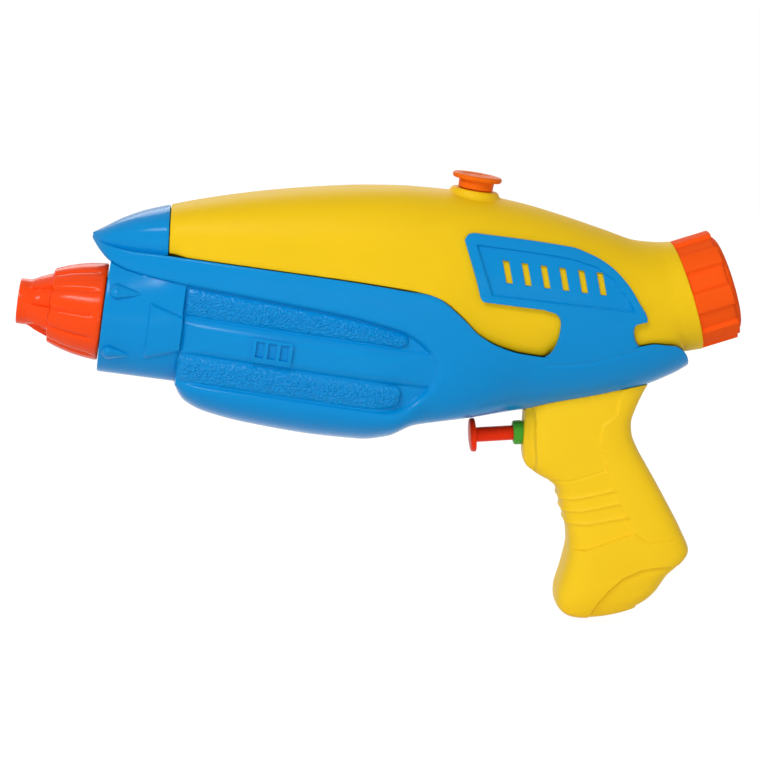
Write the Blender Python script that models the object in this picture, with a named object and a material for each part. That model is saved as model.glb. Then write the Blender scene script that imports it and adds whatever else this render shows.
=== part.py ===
"""Hand-pumped water squirter: a blow-moulded tank held in two cover halves, with a trigger pump in the grip.

Sizes are in metres. X runs back from the muzzle along the barrel axis, Z rises from that axis, and the
left half lies at negative Y. The datum empty moves all of it, so that the hand's grip is the origin.
"""

import math

import bmesh
import bpy
import numpy as np
from mathutils import Matrix, Vector

# Fits
FIT = 0.0003  # between pieces that touch
SPLIT = 0.0003  # between a left and a right half
TANK_GAP = 0.0006  # between the tank and the covers round it
OPENING_GAP = 0.0005  # between the grip and the covers

# The middle of the hand on the grip, which is the origin
HAND_X = 0.2440
HAND_Z = -0.0460

# Filler neck at the rear of the tank
NECK_X = 0.26245
NECK_Z = 0.0379
NECK_TILT = 25.0  # degrees
SHOULDER_RADIUS = 0.0224
NECK_RADIUS = 0.0186
NECK_LENGTH = 0.0134
NECK_WALL = 0.0018
THREAD_HEIGHT = 0.0009
THREAD_PITCH = 0.0040
THREAD_START = 0.0024
THREAD_TURNS = 1.25

# Body: top x and z, bottom x and z, and half width of each station from the beak's tip to the neck
BODY_STATIONS = (
    (0.0255, 0.0309, 0.0259, 0.0282, 0.0008),
    (0.0300, 0.0338, 0.0300, 0.0260, 0.0070),
    (0.0360, 0.0378, 0.0360, 0.0246, 0.0110),
    (0.0440, 0.0419, 0.0440, 0.0238, 0.0143),
    (0.0548, 0.0459, 0.0548, 0.0232, 0.0173),
    (0.0700, 0.0508, 0.0700, 0.0215, 0.0206),
    (0.0900, 0.0562, 0.0900, 0.0195, 0.0237),
    (0.1100, 0.0606, 0.1100, 0.0172, 0.0259),
    (0.1300, 0.0641, 0.1300, 0.0137, 0.0274),
    (0.1500, 0.0662, 0.1500, 0.0085, 0.0283),
    (0.1700, 0.0668, 0.1700, 0.0035, 0.0285),
    (0.1900, 0.0655, 0.1920, 0.0030, 0.0280),
    (0.2100, 0.0625, 0.2160, 0.0050, 0.0268),
    (0.2260, 0.0594, 0.2380, 0.0088, 0.0250),
    (0.2395, 0.0569, 0.2555, 0.0128, 0.0232),
    (0.2475, 0.0573, 0.2643, 0.0153, 0.0223),
)
CROWN_ROUND = 2.25  # superellipse power over the tank's widest line
BELLY_ROUND = 2.8  # and under it
HULL_ROUND_FRONT = 4.0  # and under it on the covers, behind the stripes
HULL_ROUND_REAR = 2.2
HULL_ROUND_FADE = (0.1650, 0.2050)
ROUND_FROM = 12  # station after which the section turns into the neck's circle

# Tank
TANK_FRONT = 4  # station where the tank's skin starts, behind the beak
TANK_WALL = 0.0016
SNOUT_LENGTH = 0.0110

# Covers
COVER_WALL = 0.0018
HULL_BOTTOM = (
    (0.0652, -0.0242),
    (0.0700, -0.0306),
    (0.0780, -0.0337),
    (0.0950, -0.0360),
    (0.1200, -0.0371),
    (0.1400, -0.0364),
    (0.1510, -0.0336),
    (0.1600, -0.0273),
    (0.1680, -0.0249),
    (0.1880, -0.0204),
    (0.2160, -0.0130),
    (0.2440, -0.0034),
    (0.2620, 0.0066),
    (0.2675, 0.0110),
)
BAND_TOP = (
    (0.0254, 0.0298),
    (0.0320, 0.0281),
    (0.0420, 0.0277),
    (0.0560, 0.0284),
    (0.0900, 0.0290),
    (0.1250, 0.0293),
    (0.1490, 0.0288),
    (0.1580, 0.0280),
    (0.1640, 0.0263),
    (0.1710, 0.0220),
    (0.1800, 0.0152),
    (0.1880, 0.0119),
    (0.1970, 0.0101),
    (0.2090, 0.0096),
    (0.2220, 0.0112),
    (0.2360, 0.0158),
    (0.2440, 0.0188),
    (0.2500, 0.0203),
    (0.2580, 0.0202),
    (0.2630, 0.0164),
    (0.2675, 0.0118),
)
BAND_LOW = (
    (0.0256, 0.0290),
    (0.0286, 0.0260),
    (0.0342, 0.0221),
    (0.0430, 0.0197),
    (0.0620, 0.0183),
    (0.0930, 0.0173),
    (0.1300, 0.0155),
    (0.1490, 0.0129),
)
LIP_PROUD = 0.0004  # the band's lower edge over its upper edge
STRIPE_INSET = 0.0030  # stripes behind the band
STRIPE_BULGE = 0.0013
RIB_BULGE = 0.0025
RIB_TOP = 0.0056
RIB_BOTTOM = -0.0088
KEEL_EDGE = -0.0210
KEEL_LIP = 0.0014
STEP_RUN = 0.0008  # slope of the steps beside the stripes
RECESS_FADE = (0.1500, 0.1680)

# Collar round the nozzle
COLLAR_FRONT = 0.0340
COLLAR_REAR = 0.0644
COLLAR_HALF_WIDTH = 0.0210
COLLAR_HALF_HEIGHT = 0.0221
COLLAR_MIDDLE = -0.0015
COLLAR_STEP = 0.0008

# Side panel over the tank, and the bridge that carries it
PANEL_FRONT = 0.1780
PANEL_SLANT = 0.0085
PANEL_LOW = 0.0284
PANEL_TOP = (
    (0.1690, 0.0525),
    (0.1740, 0.0547),
    (0.1880, 0.0546),
    (0.2100, 0.0540),
    (0.2190, 0.0520),
    (0.2265, 0.0488),
    (0.2345, 0.0425),
    (0.2406, 0.0352),
    (0.2440, 0.0312),
)
BRIDGE = (0.2090, 0.2410)
SLOTS = 6
SLOT_FIRST = 0.1880
SLOT_PITCH = 0.0075
SLOT_WIDTH = 0.0026
SLOT_LOW = 0.0370
SLOT_HEIGHT = 0.0085
COVER_COLUMNS = (
    (0.0255, 0.0285, 0.0336),
    (0.0440, 0.0539, 0.0644),
    (0.0700, 0.0780, 0.0900, 0.1040, 0.1180, 0.1320, 0.1430),
    (0.1500, 0.1550, 0.1600, 0.1640, 0.1680, 0.1730),
    (0.1780, 0.1840, 0.1910, 0.1980, 0.2040, 0.2090),
    (0.2170, 0.2250, 0.2330, 0.2410, 0.2440),
    (0.2500, 0.2560, 0.2610, 0.2645, 0.2675),
)

# Grip: front x and z, rear x and z, half width and bulge of each station from the covers to the butt
GRIP_STATIONS = (
    (0.2050, -0.0184, 0.2526, -0.0020, 0.0132, 0.0),
    (0.2064, -0.0290, 0.2484, -0.0140, 0.0132, 0.0),
    (0.2086, -0.0378, 0.2493, -0.0195, 0.0132, 0.0),
    (0.2130, -0.0408, 0.2527, -0.0257, 0.0130, 0.0),
    (0.2218, -0.0452, 0.2575, -0.0320, 0.0130, 0.0),
    (0.2261, -0.0540, 0.2620, -0.0378, 0.0130, 0.0),
    (0.2302, -0.0640, 0.2685, -0.0465, 0.0132, 0.0),
    (0.2312, -0.0702, 0.2753, -0.0560, 0.0140, 0.0),
    (0.2306, -0.0780, 0.2800, -0.0645, 0.0143, 0.0),
    (0.2292, -0.0880, 0.2777, -0.0696, 0.0142, 0.0),
    (0.2296, -0.0920, 0.2734, -0.0750, 0.0138, 0.0),
    (0.2320, -0.0953, 0.2696, -0.0828, 0.0124, 0.0007),
    (0.2345, -0.0967, 0.2660, -0.0875, 0.0095, 0.0020),
    (0.2373, -0.0977, 0.2622, -0.0911, 0.0000, 0.0024),
)
GRIP_ROUND = 4.0
GRIP_WALL = 0.0020
TANG_FRONT = 0.2095
TANG_REAR = 0.2505
TANG_HALF_WIDTH = 0.0095
TANG_RISE = 0.0050

# Nozzle
NOZZLE_BASE_X = 0.0334
NOZZLE_BASE_RADIUS = 0.0194
NOZZLE_STEP_X = 0.0123
NOZZLE_STEP_RADIUS = 0.0147
NOZZLE_TIP_RADIUS = 0.0090
NOZZLE_TIP_LENGTH = 0.0045
NOZZLE_CONE_RADIUS = 0.0126
NOZZLE_WALL = 0.0024
NOZZLE_TURN = math.radians(-4.0)  # at rest, from a groove on the lower side
PETALS = 12
PETAL_GROOVE = 0.0010
POCKETS = 4
POCKET_SHARE = 0.5  # of a quarter of a turn, and the lobes between them have the rest
POCKET_DEPTH = 0.0022
SPIGOT_RADIUS = 0.0146
SPIGOT_FLANGE_RADIUS = 0.0172
SPIGOT_FLANGE = 0.0022
COLLAR_RING = (0.0370, 0.0395)

# Jet tube in the nozzle, and the hoses
JET_RADIUS = 0.0029
JET_BORE = 0.0008
JET_FRONT = 0.0008
BULKHEAD = (0.0500, 0.0520)
JET_FLANGE_RADIUS = 0.0048
JET_FLANGE = 0.0015
BARB_RADIUS = 0.0017
BARB_BORE = 0.0009
BARB_LENGTH = 0.0060
HOSE_WALL = 0.0008

# Pump, along its own axis back from the gland's front face
PUMP_X = 0.2023
PUMP_Z = -0.0268
PUMP_TILT = 11.0  # degrees
ROD_RADIUS = 0.0030
ROD_OUT = 0.0151  # bare rod in front of the gland
DISC_RADIUS = 0.0068
DISC_LENGTH = 0.0028
GLAND_RADIUS = 0.0049
GLAND_HEAD = 0.0040
GLAND_LENGTH = 0.0090
GLAND_NECK_RADIUS = 0.0046
SEAL_LENGTH = 0.0013
SEAL_THICKNESS = 0.0006
CYLINDER_BORE = 0.0050
CYLINDER_WALL = 0.0016
CYLINDER_FRONT = 0.0068
CYLINDER_END = 0.0350
FLANGE_RADIUS = 0.0071
FLANGE_LENGTH = 0.0020
PISTON_LENGTH = 0.0032
PISTON_RADIUS = 0.0046
PISTON_PIN_RADIUS = 0.0018
PISTON_SEAL_LENGTH = 0.0014
PISTON_SEAL_PROUD = 0.00015
SPRING_WIRE = 0.0007
SPRING_RADIUS = 0.0039
SPRING_TURNS = 6

# Valves, across the pump's axis
PORT_AT = 0.0310
PORT_RADIUS = 0.0015
STUB_RADIUS = 0.0044
STUB_BORE = 0.0028
STUB_LENGTH = 0.0066  # past the cylinder's skin
BALL_RADIUS = 0.0022
PLUG_IN = 0.0016  # how far a fitting's spigot goes into a stub
ELBOW_RISE = 0.0045

# Cap
CAP_WALL = 0.0015
CAP_ROOF = 0.0027
CAP_LOBE = 0.0010
CAP_LOBES = 8
CAP_RIM = 0.0023  # from the lobes' ends to the flat end
CAP_DOME_RADIUS = 0.0196
CAP_FLAT_RADIUS = 0.0150
CAP_TURN = math.radians(-10.0)  # at rest, of a lobe's start from the lower side
LINER_LENGTH = 0.0012

# Plug on top of the tank
PLUG_X = 0.1724
PLUG_TILT = 1.4  # degrees
BOSS_RADIUS = 0.0100
BOSS_TOP_RADIUS = 0.0093
BOSS_RISE = 0.0016
BOSS_ROOT = 0.0030  # how far it reaches down through the tank's wall
BOSS_BORE = 0.0062
PLUG_STEM_RADIUS = 0.0070
PLUG_STEM_RISE = 0.0036
PLUG_FLANGE_RADIUS = 0.0098
PLUG_FLANGE = 0.0021
PLUG_DEPTH = 0.0056
PLUG_DISH = 0.0006

# Outlet spout under the tank
SPOUT_X = 0.2435
SPOUT_DROP = 0.0075

# Screws, from the right: x and z
COVER_SCREWS = ((0.0580, -0.0140), (0.1120, -0.0280), (0.1780, -0.0135))
GRIP_SCREWS = ((0.2185, -0.0385), (0.2640, -0.0580), (0.2460, -0.0800))
SCREW_RADIUS = 0.0012
SCREW_HEAD_RADIUS = 0.0026
SCREW_HEAD = 0.0018
SCREW_GRIP = 0.0050  # thread in the left boss
SCREW_SEAT = 0.0040  # from the joint to the head's seat
BOSS_WALL = 0.0012

# Hose routes, as x and z in the middle plane
DELIVERY_ROUTE = (
    (0.2050, -0.0078),
    (0.1850, -0.0056),
    (0.1640, -0.0028),
    (0.1400, -0.0008),
    (0.1100, 0.0000),
    (0.0800, 0.0000),
)
SUCTION_ROUTE = (
    (0.2435, -0.0040),
    (0.2438, -0.0160),
    (0.2460, -0.0280),
    (0.2494, -0.0390),
    (0.2508, -0.0475),
    (0.2482, -0.0545),
    (0.2430, -0.0562),
    (0.2396, -0.0516),
)

# Worked out from the sizes above
COVER_PROUD = COVER_WALL + TANK_GAP
CAP_BORE = NECK_RADIUS + THREAD_HEIGHT + FIT
CAP_RECESS_RADIUS = CAP_BORE + CAP_WALL
LINER_RADIUS = CAP_BORE - FIT
LINER_AT = NECK_LENGTH + FIT
CAP_ROOF_AT = LINER_AT + LINER_LENGTH + FIT
CAP_LENGTH = CAP_ROOF_AT + CAP_ROOF
HOSE_BORE = BARB_RADIUS + FIT
HOSE_RADIUS = HOSE_BORE + HOSE_WALL
CYLINDER_RADIUS = CYLINDER_BORE + CYLINDER_WALL
SCREW_BORE = SCREW_RADIUS + FIT
SCREW_RECESS = SCREW_HEAD_RADIUS + FIT
SCREW_BOSS = SCREW_RECESS + BOSS_WALL

COLOURS = {
    "yellow": (0.90, 0.55, 0.02),
    "warm_yellow": (0.93, 0.56, 0.03),
    "blue": (0.01, 0.26, 0.62),
    "orange_red": (0.95, 0.10, 0.02),
    "orange": (0.95, 0.14, 0.01),
    "pale_orange": (0.95, 0.24, 0.04),
    "red": (0.60, 0.03, 0.01),
    "green": (0.08, 0.35, 0.04),
    "white": (0.75, 0.76, 0.74),
    "clear": (0.70, 0.78, 0.80),
    "black": (0.02, 0.02, 0.02),
    "steel": (0.55, 0.56, 0.58),
}


def clear_scene():
    for old in list(bpy.data.objects):
        bpy.data.objects.remove(old)


def material(name):
    found = bpy.data.materials.get(name)
    if found:
        return found
    made = bpy.data.materials.new(name)
    made.use_nodes = True
    shader = made.node_tree.nodes["Principled BSDF"]
    shader.inputs["Base Color"].default_value = (*COLOURS[name], 1.0)
    shader.inputs["Roughness"].default_value = 0.35 if name != "black" else 0.6
    shader.inputs["Metallic"].default_value = 1.0 if name == "steel" else 0.0
    return made


def empty(name, parent, location, direction=None):
    """An empty whose local Z lies along direction, given in the middle plane as x and z."""
    made = bpy.data.objects.new(name, None)
    bpy.context.scene.collection.objects.link(made)
    made.parent = parent
    made.location = location
    if direction is not None:
        z = Vector((direction[0], 0.0, direction[1])).normalized()
        y = Vector((0.0, 1.0, 0.0))
        made.rotation_euler = Matrix((y.cross(z), y, z)).transposed().to_euler()
    return made


def add(name, verts, faces, colour, parent, location=(0.0, 0.0, 0.0), helper=False):
    """A closed mesh object, with its faces turned outwards."""
    mesh = bpy.data.meshes.new(name)
    mesh.from_pydata([tuple(v) for v in verts], [], faces)
    bm = bmesh.new()
    bm.from_mesh(mesh)
    loose = [v for v in bm.verts if not v.link_faces]
    bmesh.ops.delete(bm, geom=loose, context="VERTS")
    bmesh.ops.recalc_face_normals(bm, faces=bm.faces)
    if bm.calc_volume(signed=True) < 0:
        bmesh.ops.reverse_faces(bm, faces=bm.faces)
    bm.to_mesh(mesh)
    bm.free()
    mesh.shade_smooth()
    mesh.set_sharp_from_angle(angle=math.radians(35))
    made = bpy.data.objects.new(name, mesh)
    bpy.context.scene.collection.objects.link(made)
    made.parent = parent
    made.location = location
    if helper:
        made.hide_render = True
        made.display_type = "WIRE"
    else:
        mesh.materials.append(material(colour))
    return made


def combine(target, tool, operation):
    modifier = target.modifiers.new(operation.lower(), "BOOLEAN")
    modifier.solver = "EXACT"
    modifier.operation = operation
    modifier.object = tool


def ring_faces(rings, closed_chain):
    """Faces between rings of point numbers; a ring of one point is a pole."""
    faces = []
    pairs = list(zip(rings, rings[1:]))
    if closed_chain:
        pairs.append((rings[-1], rings[0]))
    for low, high in pairs:
        count = max(len(low), len(high))
        for k in range(count):
            corners = [low[k % len(low)], low[(k + 1) % len(low)]]
            corners += [high[(k + 1) % len(high)], high[k % len(high)]]
            corners = list(dict.fromkeys(corners))
            if len(corners) > 2:
                faces.append(corners)
    return faces


def rings_object(name, rings, closed_chain, colour, parent, location=(0.0, 0.0, 0.0), helper=False):
    """A closed object skinned over rings of points."""
    verts = []
    numbers = []
    for ring in rings:
        numbers.append(list(range(len(verts), len(verts) + len(ring))))
        verts += ring
    return add(name, verts, ring_faces(numbers, closed_chain), colour, parent, location, helper)


def turned(name, profile, colour, parent, at=0.0, segments=20, helper=False):
    """A turned piece about local Z, from (radius, z) points; a profile off the axis closes on itself."""
    rings = []
    for radius, z in profile:
        if radius == 0.0:
            rings.append([(0.0, 0.0, z)])
        else:
            turns = [2 * math.pi * k / segments for k in range(segments)]
            rings.append([(radius * math.cos(a), radius * math.sin(a), z) for a in turns])
    closed_chain = profile[0][0] > 0.0
    return rings_object(name, rings, closed_chain, colour, parent, (0.0, 0.0, at), helper)


def rod_cutter(name, radius, low, high, parent, segments=20):
    profile = ((0.0, low), (radius, low), (radius, high), (0.0, high))
    return turned(name, profile, None, parent, segments=segments, helper=True)


def curve(points, x):
    """The height at x on a smooth curve, without overshoot, through (x, height) points in order of x."""
    xs = [p[0] for p in points]
    ys = [p[1] for p in points]
    x = min(max(x, xs[0]), xs[-1])
    i = min(int(np.searchsorted(xs, x, side="right")) - 1, len(xs) - 2)
    secants = [(ys[k + 1] - ys[k]) / (xs[k + 1] - xs[k]) for k in range(len(xs) - 1)]

    def slope(k):
        if k == 0 or k == len(xs) - 1:
            return secants[min(k, len(secants) - 1)]
        before, after = secants[k - 1], secants[k]
        return 2 * before * after / (before + after) if before * after > 0 else 0.0

    width = xs[i + 1] - xs[i]
    t = (x - xs[i]) / width
    start = (1 + 2 * t) * (1 - t) ** 2 * ys[i] + t * (1 - t) ** 2 * width * slope(i)
    end = t * t * (3 - 2 * t) * ys[i + 1] - t * t * (1 - t) * width * slope(i + 1)
    return start + end


def smooth_step(low, high, x):
    t = min(max((x - low) / (high - low), 0.0), 1.0)
    return t * t * (3 - 2 * t)


def signed_power(value, power):
    return math.copysign(abs(value) ** power, value)


def neck_direction():
    tilt = math.radians(NECK_TILT)
    return (math.cos(tilt), math.sin(tilt))


def body_stations():
    """The stations with the neck's shoulder, a circle square to the neck's axis, as the last."""
    along = neck_direction()
    rise = (-along[1] * SHOULDER_RADIUS, along[0] * SHOULDER_RADIUS)
    top = (NECK_X + rise[0], NECK_Z + rise[1])
    bottom = (NECK_X - rise[0], NECK_Z - rise[1])
    return BODY_STATIONS + ((*top, *bottom, SHOULDER_RADIUS),)


def body_table(steps=10):
    """Stations between the given ones, on smooth curves."""
    stations = body_stations()
    last = len(stations) - 1
    columns = [[(k, s[c]) for k, s in enumerate(stations)] for c in range(5)]
    return np.array([[curve(c, k / steps) for c in columns] for k in range(last * steps + 1)]), steps


TABLE, TABLE_STEPS = body_table()


def section_at(number):
    """(station, top, bottom, half width) at a row of the table that need not be whole."""
    low = min(int(number), len(TABLE) - 2)
    row = TABLE[low] + (TABLE[low + 1] - TABLE[low]) * (number - low)
    return number / TABLE_STEPS, Vector(row[0:2]), Vector(row[2:4]), row[4]


def section_through(x, z):
    """The section whose plane holds a point of the side view."""
    share = (z - TABLE[:, 3]) / (TABLE[:, 1] - TABLE[:, 3])
    line = TABLE[:, 2] + share * (TABLE[:, 0] - TABLE[:, 2])
    return section_at(float(np.interp(x, line, np.arange(len(TABLE)))))


def powers(station):
    """Superellipse powers over and under the widest line."""
    blend = min(max((station - ROUND_FROM) / 3.0, 0.0), 1.0)
    return CROWN_ROUND + (2.0 - CROWN_ROUND) * blend, BELLY_ROUND + (2.0 - BELLY_ROUND) * blend


def body_half_width(x, z, grow):
    station, top, bottom, half = section_through(x, z)
    reach = (top - bottom).length / 2
    height = (Vector((x, z)) - (top + bottom) / 2).dot((top - bottom).normalized())
    power = powers(station)[0 if height >= 0 else 1]
    share = min(abs(height) / (reach + grow), 1.0)
    return (half + grow) * (1 - share**power) ** (1 / power)


def hull_power(x):
    return HULL_ROUND_FRONT + (HULL_ROUND_REAR - HULL_ROUND_FRONT) * smooth_step(*HULL_ROUND_FADE, x)


def hull_half_width(x, z):
    """Half width of the covers' smooth outer form."""
    station, top, bottom, half = section_through(x, z)
    middle = (top.y + bottom.y) / 2
    if z >= middle:
        return body_half_width(x, z, COVER_PROUD)
    share = min((middle - z) / (middle - curve(HULL_BOTTOM, x)), 1.0)
    power = hull_power(x)
    return (half + COVER_PROUD) * (1 - share**power) ** (1 / power)


def hull_underside(x, y):
    """Height of the covers' smooth outer form at a distance from the middle plane."""
    low = curve(HULL_BOTTOM, x)
    station, top, bottom, half = section_through(x, low)
    middle = (top.y + bottom.y) / 2
    share = min(abs(y) / (half + COVER_PROUD), 1.0)
    power = hull_power(x)
    return middle - (middle - low) * (1 - share**power) ** (1 / power)


def body_ring(number, grow, count=28):
    station, top, bottom, half = section_at(number)
    over, under = powers(station)
    middle = (top + bottom) / 2
    up = (top - bottom).normalized()
    reach = (top - bottom).length / 2 + grow
    ring = []
    for k in range(count):
        turn = 2 * math.pi * (k + 0.5) / count
        power = over if math.cos(turn) >= 0 else under
        rise = reach * signed_power(math.cos(turn), 2 / power)
        y = (half + grow) * signed_power(math.sin(turn), 2 / power)
        ring.append((middle.x + up.x * rise, y, middle.y + up.y * rise))
    return ring


def moved(ring, direction, distance, scale=1.0):
    """A ring slid along a direction of the middle plane and scaled about its centre."""
    centre = Vector((sum(p[0] for p in ring), sum(p[1] for p in ring), sum(p[2] for p in ring)))
    centre /= len(ring)
    shift = Vector((direction[0], 0.0, direction[1])) * distance
    return [tuple(centre + (Vector(p) - centre) * scale + shift) for p in ring]


def thread_ridge(parent):
    """A single-start ridge wound on the neck, sunk a little into it."""
    steps = int(24 * THREAD_TURNS)
    sink = THREAD_HEIGHT / 2
    rings = []
    for k in range(steps + 1):
        turn = 2 * math.pi * THREAD_TURNS * k / steps
        fade = min(1.0, 4 * k / steps + 0.1, 4 * (steps - k) / steps + 0.1)
        middle = THREAD_START + THREAD_PITCH * turn / (2 * math.pi)
        root = NECK_RADIUS - sink
        crest = NECK_RADIUS + THREAD_HEIGHT * fade
        section = ((root, -THREAD_HEIGHT), (crest, 0.0), (root, THREAD_HEIGHT))
        rings.append([(r * math.cos(turn), r * math.sin(turn), middle + z) for r, z in section])
    verts = [p for ring in rings for p in ring]
    numbers = [[3 * k, 3 * k + 1, 3 * k + 2] for k in range(len(rings))]
    faces = ring_faces(numbers, False) + [numbers[0], numbers[-1]]
    return add("thread_ridge", verts, faces, None, parent, helper=True)


def make_tank(datum, neck, plug_seat):
    first = TANK_FRONT * TABLE_STEPS
    last = len(TABLE) - 1
    stations = range(first, last + 1, TABLE_STEPS)
    inset = -(COVER_WALL + TANK_GAP)
    front = (-1.0, 0.0)
    snout = body_ring(first, inset)
    outer = [moved(snout, front, SNOUT_LENGTH, 0.30), moved(snout, front, 0.8 * SNOUT_LENGTH, 0.55)]
    outer += [moved(snout, front, 0.4 * SNOUT_LENGTH, 0.80), snout]
    outer += [body_ring(number, 0.0) for number in stations]
    along = neck_direction()
    shoulder = outer[-1]
    neck_root = moved(shoulder, along, 0.0, NECK_RADIUS / SHOULDER_RADIUS)
    mouth = (NECK_RADIUS - NECK_WALL) / SHOULDER_RADIUS
    outer += [neck_root, moved(neck_root, along, NECK_LENGTH)]
    inner = [moved(shoulder, along, NECK_LENGTH, mouth), moved(shoulder, along, -TANK_WALL, mouth)]
    inner += [body_ring(number, -TANK_WALL) for number in reversed(range(first + 5, last - 4, 2 * TABLE_STEPS))]
    tip = [tuple(sum(p[c] for p in ring) / len(ring) for c in range(3)) for ring in (outer[0], inner[-1])]
    rings = [[tip[0]]] + outer + inner + [[tip[1]]]
    tank = rings_object("tank", rings, False, "yellow", datum)
    boss = ((0.0, -BOSS_ROOT), (BOSS_RADIUS, -BOSS_ROOT), (BOSS_RADIUS, 0.0))
    boss += ((BOSS_TOP_RADIUS, BOSS_RISE), (0.0, BOSS_RISE))
    combine(tank, turned("plug_boss", boss, None, plug_seat, helper=True, segments=28), "UNION")
    combine(tank, rod_cutter("plug_bore", BOSS_BORE, -3 * BOSS_ROOT, 2 * BOSS_ROOT, plug_seat), "DIFFERENCE")
    combine(tank, thread_ridge(neck), "UNION")
    top = spout_top()
    spout = empty("spout_axis", datum, (SPOUT_X, 0.0, top), (0.0, -1.0))
    drop = SPOUT_DROP
    combine(tank, rod_cutter("spout_tube", BARB_RADIUS, -TANK_WALL / 2, drop, spout, 14), "UNION")
    combine(tank, rod_cutter("spout_bore", BARB_BORE, -3 * TANK_WALL, 2 * drop, spout, 14), "DIFFERENCE")
    return tank


def spout_top():
    """Height of the tank's underside over the spout."""
    bottoms = TABLE[:, 2:4]
    return float(np.interp(SPOUT_X, bottoms[:, 0], bottoms[:, 1]))


ROWS = 22
KEEL_ROW = 4
LIP_ROW = 12
BAND_ROW = 13
EDGE_ROW = 15
PANEL_ROW = 17


def band_rows(x):
    """The band's lower edge, middle and upper edge as half width and height."""
    high = curve(BAND_TOP, x)
    low = curve(BAND_LOW, x)
    proud = COVER_PROUD * smooth_step(BAND_TOP[0][0], COLLAR_FRONT, x)
    top = max(body_half_width(x, high, proud), SPLIT / 2)
    lip = LIP_PROUD * smooth_step(BAND_TOP[0][0], COLLAR_FRONT, x)
    return [(top + lip, low), (top + lip, (low + high) / 2), (top, high)]


def beak_section(x):
    rows = [None] * LIP_ROW
    rows += [(SPLIT / 2, curve(BAND_LOW, x) + STEP_RUN / 4)]
    return rows + band_rows(x)


def collar_section(x):
    band = band_rows(x)
    reach = math.acos(min(band[0][0] / COLLAR_HALF_WIDTH, 1.0))
    rows = []
    for j in range(BAND_ROW):
        t = j / BAND_ROW
        turn = -math.pi / 2 + t * (reach + math.pi / 2)
        y = COLLAR_HALF_WIDTH * math.cos(turn)
        z = COLLAR_MIDDLE + COLLAR_HALF_HEIGHT * math.sin(turn)
        end_y = COLLAR_HALF_WIDTH * math.cos(reach)
        end_z = COLLAR_MIDDLE + COLLAR_HALF_HEIGHT * math.sin(reach)
        rows.append((y + t**3 * (band[0][0] - end_y), z + t**3 * (band[0][1] - end_z)))
    return rows + band


def barrel_section(x, relief):
    """Keel, lower stripe, rib, upper stripe and band."""
    band = band_rows(x)
    base = band[0][0] - STRIPE_INSET
    bottom = curve(HULL_BOTTOM, x)
    edge = base + KEEL_LIP
    rows = []
    for j in range(KEEL_ROW + 1):
        turn = math.pi / 2 * j / KEEL_ROW
        rows.append((edge * math.sin(turn), KEEL_EDGE - (KEEL_EDGE - bottom) * math.cos(turn)))
    low = KEEL_EDGE + STEP_RUN
    high = band[0][1] - STEP_RUN
    rib = RIB_TOP - RIB_BOTTOM
    stripe = STRIPE_BULGE * relief
    crest = RIB_BULGE * relief
    rows += [(base, low), (base + stripe, (low + RIB_BOTTOM) / 2), (base, RIB_BOTTOM)]
    rows += [(base + crest, RIB_BOTTOM + 0.3 * rib), (base + crest, RIB_BOTTOM + 0.7 * rib), (base, RIB_TOP)]
    rows += [(base + stripe, (high + RIB_TOP) / 2), (base, high)]
    return rows + band


def hull_section(x):
    low = curve(HULL_BOTTOM, x)
    high = curve(BAND_TOP, x)
    heights = [low + (high - low) * (j / EDGE_ROW) ** 2 for j in range(EDGE_ROW + 1)]
    return [(hull_half_width(x, z), z) for z in heights]


def nose_rows(x):
    """The beak's upper form, flush with the tank behind it."""
    start = curve(BAND_TOP, x) + STEP_RUN / 4
    station, top, bottom, half = section_through(x, start)
    rows = []
    for j in range(ROWS - EDGE_ROW - 1):
        t = j / (ROWS - EDGE_ROW - 2)
        z = start + (top.y - start) * math.sin(t * math.pi / 2)
        rows.append((x, body_half_width(x, z, 0.0), z))
    return rows


def panel_rows(x):
    """The bridge, where there is one, and the panel, whose front edge leans forward."""
    along = (x - PANEL_FRONT) / (PANEL_TOP[-1][0] - PANEL_FRONT)
    slant = PANEL_SLANT * (1 - along)
    top = max(curve(PANEL_TOP, x - slant), PANEL_LOW + 2 * STEP_RUN)
    rows = []
    steps = ROWS - 1 - PANEL_ROW
    for j in range(steps + 1):
        t = j / steps
        place = (x - slant * t, PANEL_LOW + (top - PANEL_LOW) * t)
        rows.append((place[0], body_half_width(*place, COVER_PROUD), place[1]))
    middle = (curve(BAND_TOP, x) + PANEL_LOW) / 2
    on_bridge = BRIDGE[0] - FIT <= x <= BRIDGE[1] + FIT
    return [(x, hull_half_width(x, middle), middle) if on_bridge else None] + rows


def cover_column(x, relief):
    """Points of one section of a cover, bottom to top, with None where the cover has no such row."""
    if x < COLLAR_FRONT:
        flat = beak_section(x)
    elif x <= COLLAR_REAR:
        flat = collar_section(x)
    else:
        blend = smooth_step(*RECESS_FADE, x)
        barrel = barrel_section(x, relief)
        hull = hull_section(x)
        flat = [
            (b[0] + (h[0] - b[0]) * blend, b[1] + (h[1] - b[1]) * blend) for b, h in zip(barrel, hull)
        ]
    rows = [(x, max(p[0], SPLIT / 2), p[1]) if p else None for p in flat]
    rows[0] = (x, SPLIT / 2, rows[0][2]) if rows[0] else None
    if x < BODY_STATIONS[TANK_FRONT][0]:
        upper = nose_rows(x)
        upper[-1] = (x, SPLIT / 2, upper[-1][2])
    elif PANEL_FRONT - FIT <= x <= PANEL_TOP[-1][0] + FIT:
        upper = panel_rows(x)
    else:
        upper = [None] * (ROWS - EDGE_ROW - 1)
    return rows + [(p[0], max(p[1], SPLIT / 2), p[2]) if p else None for p in upper]


def cover_positions():
    flat = [x for group in COVER_COLUMNS for x in group]
    return sorted(flat + [COLLAR_FRONT, COLLAR_REAR + COLLAR_STEP])


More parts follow.
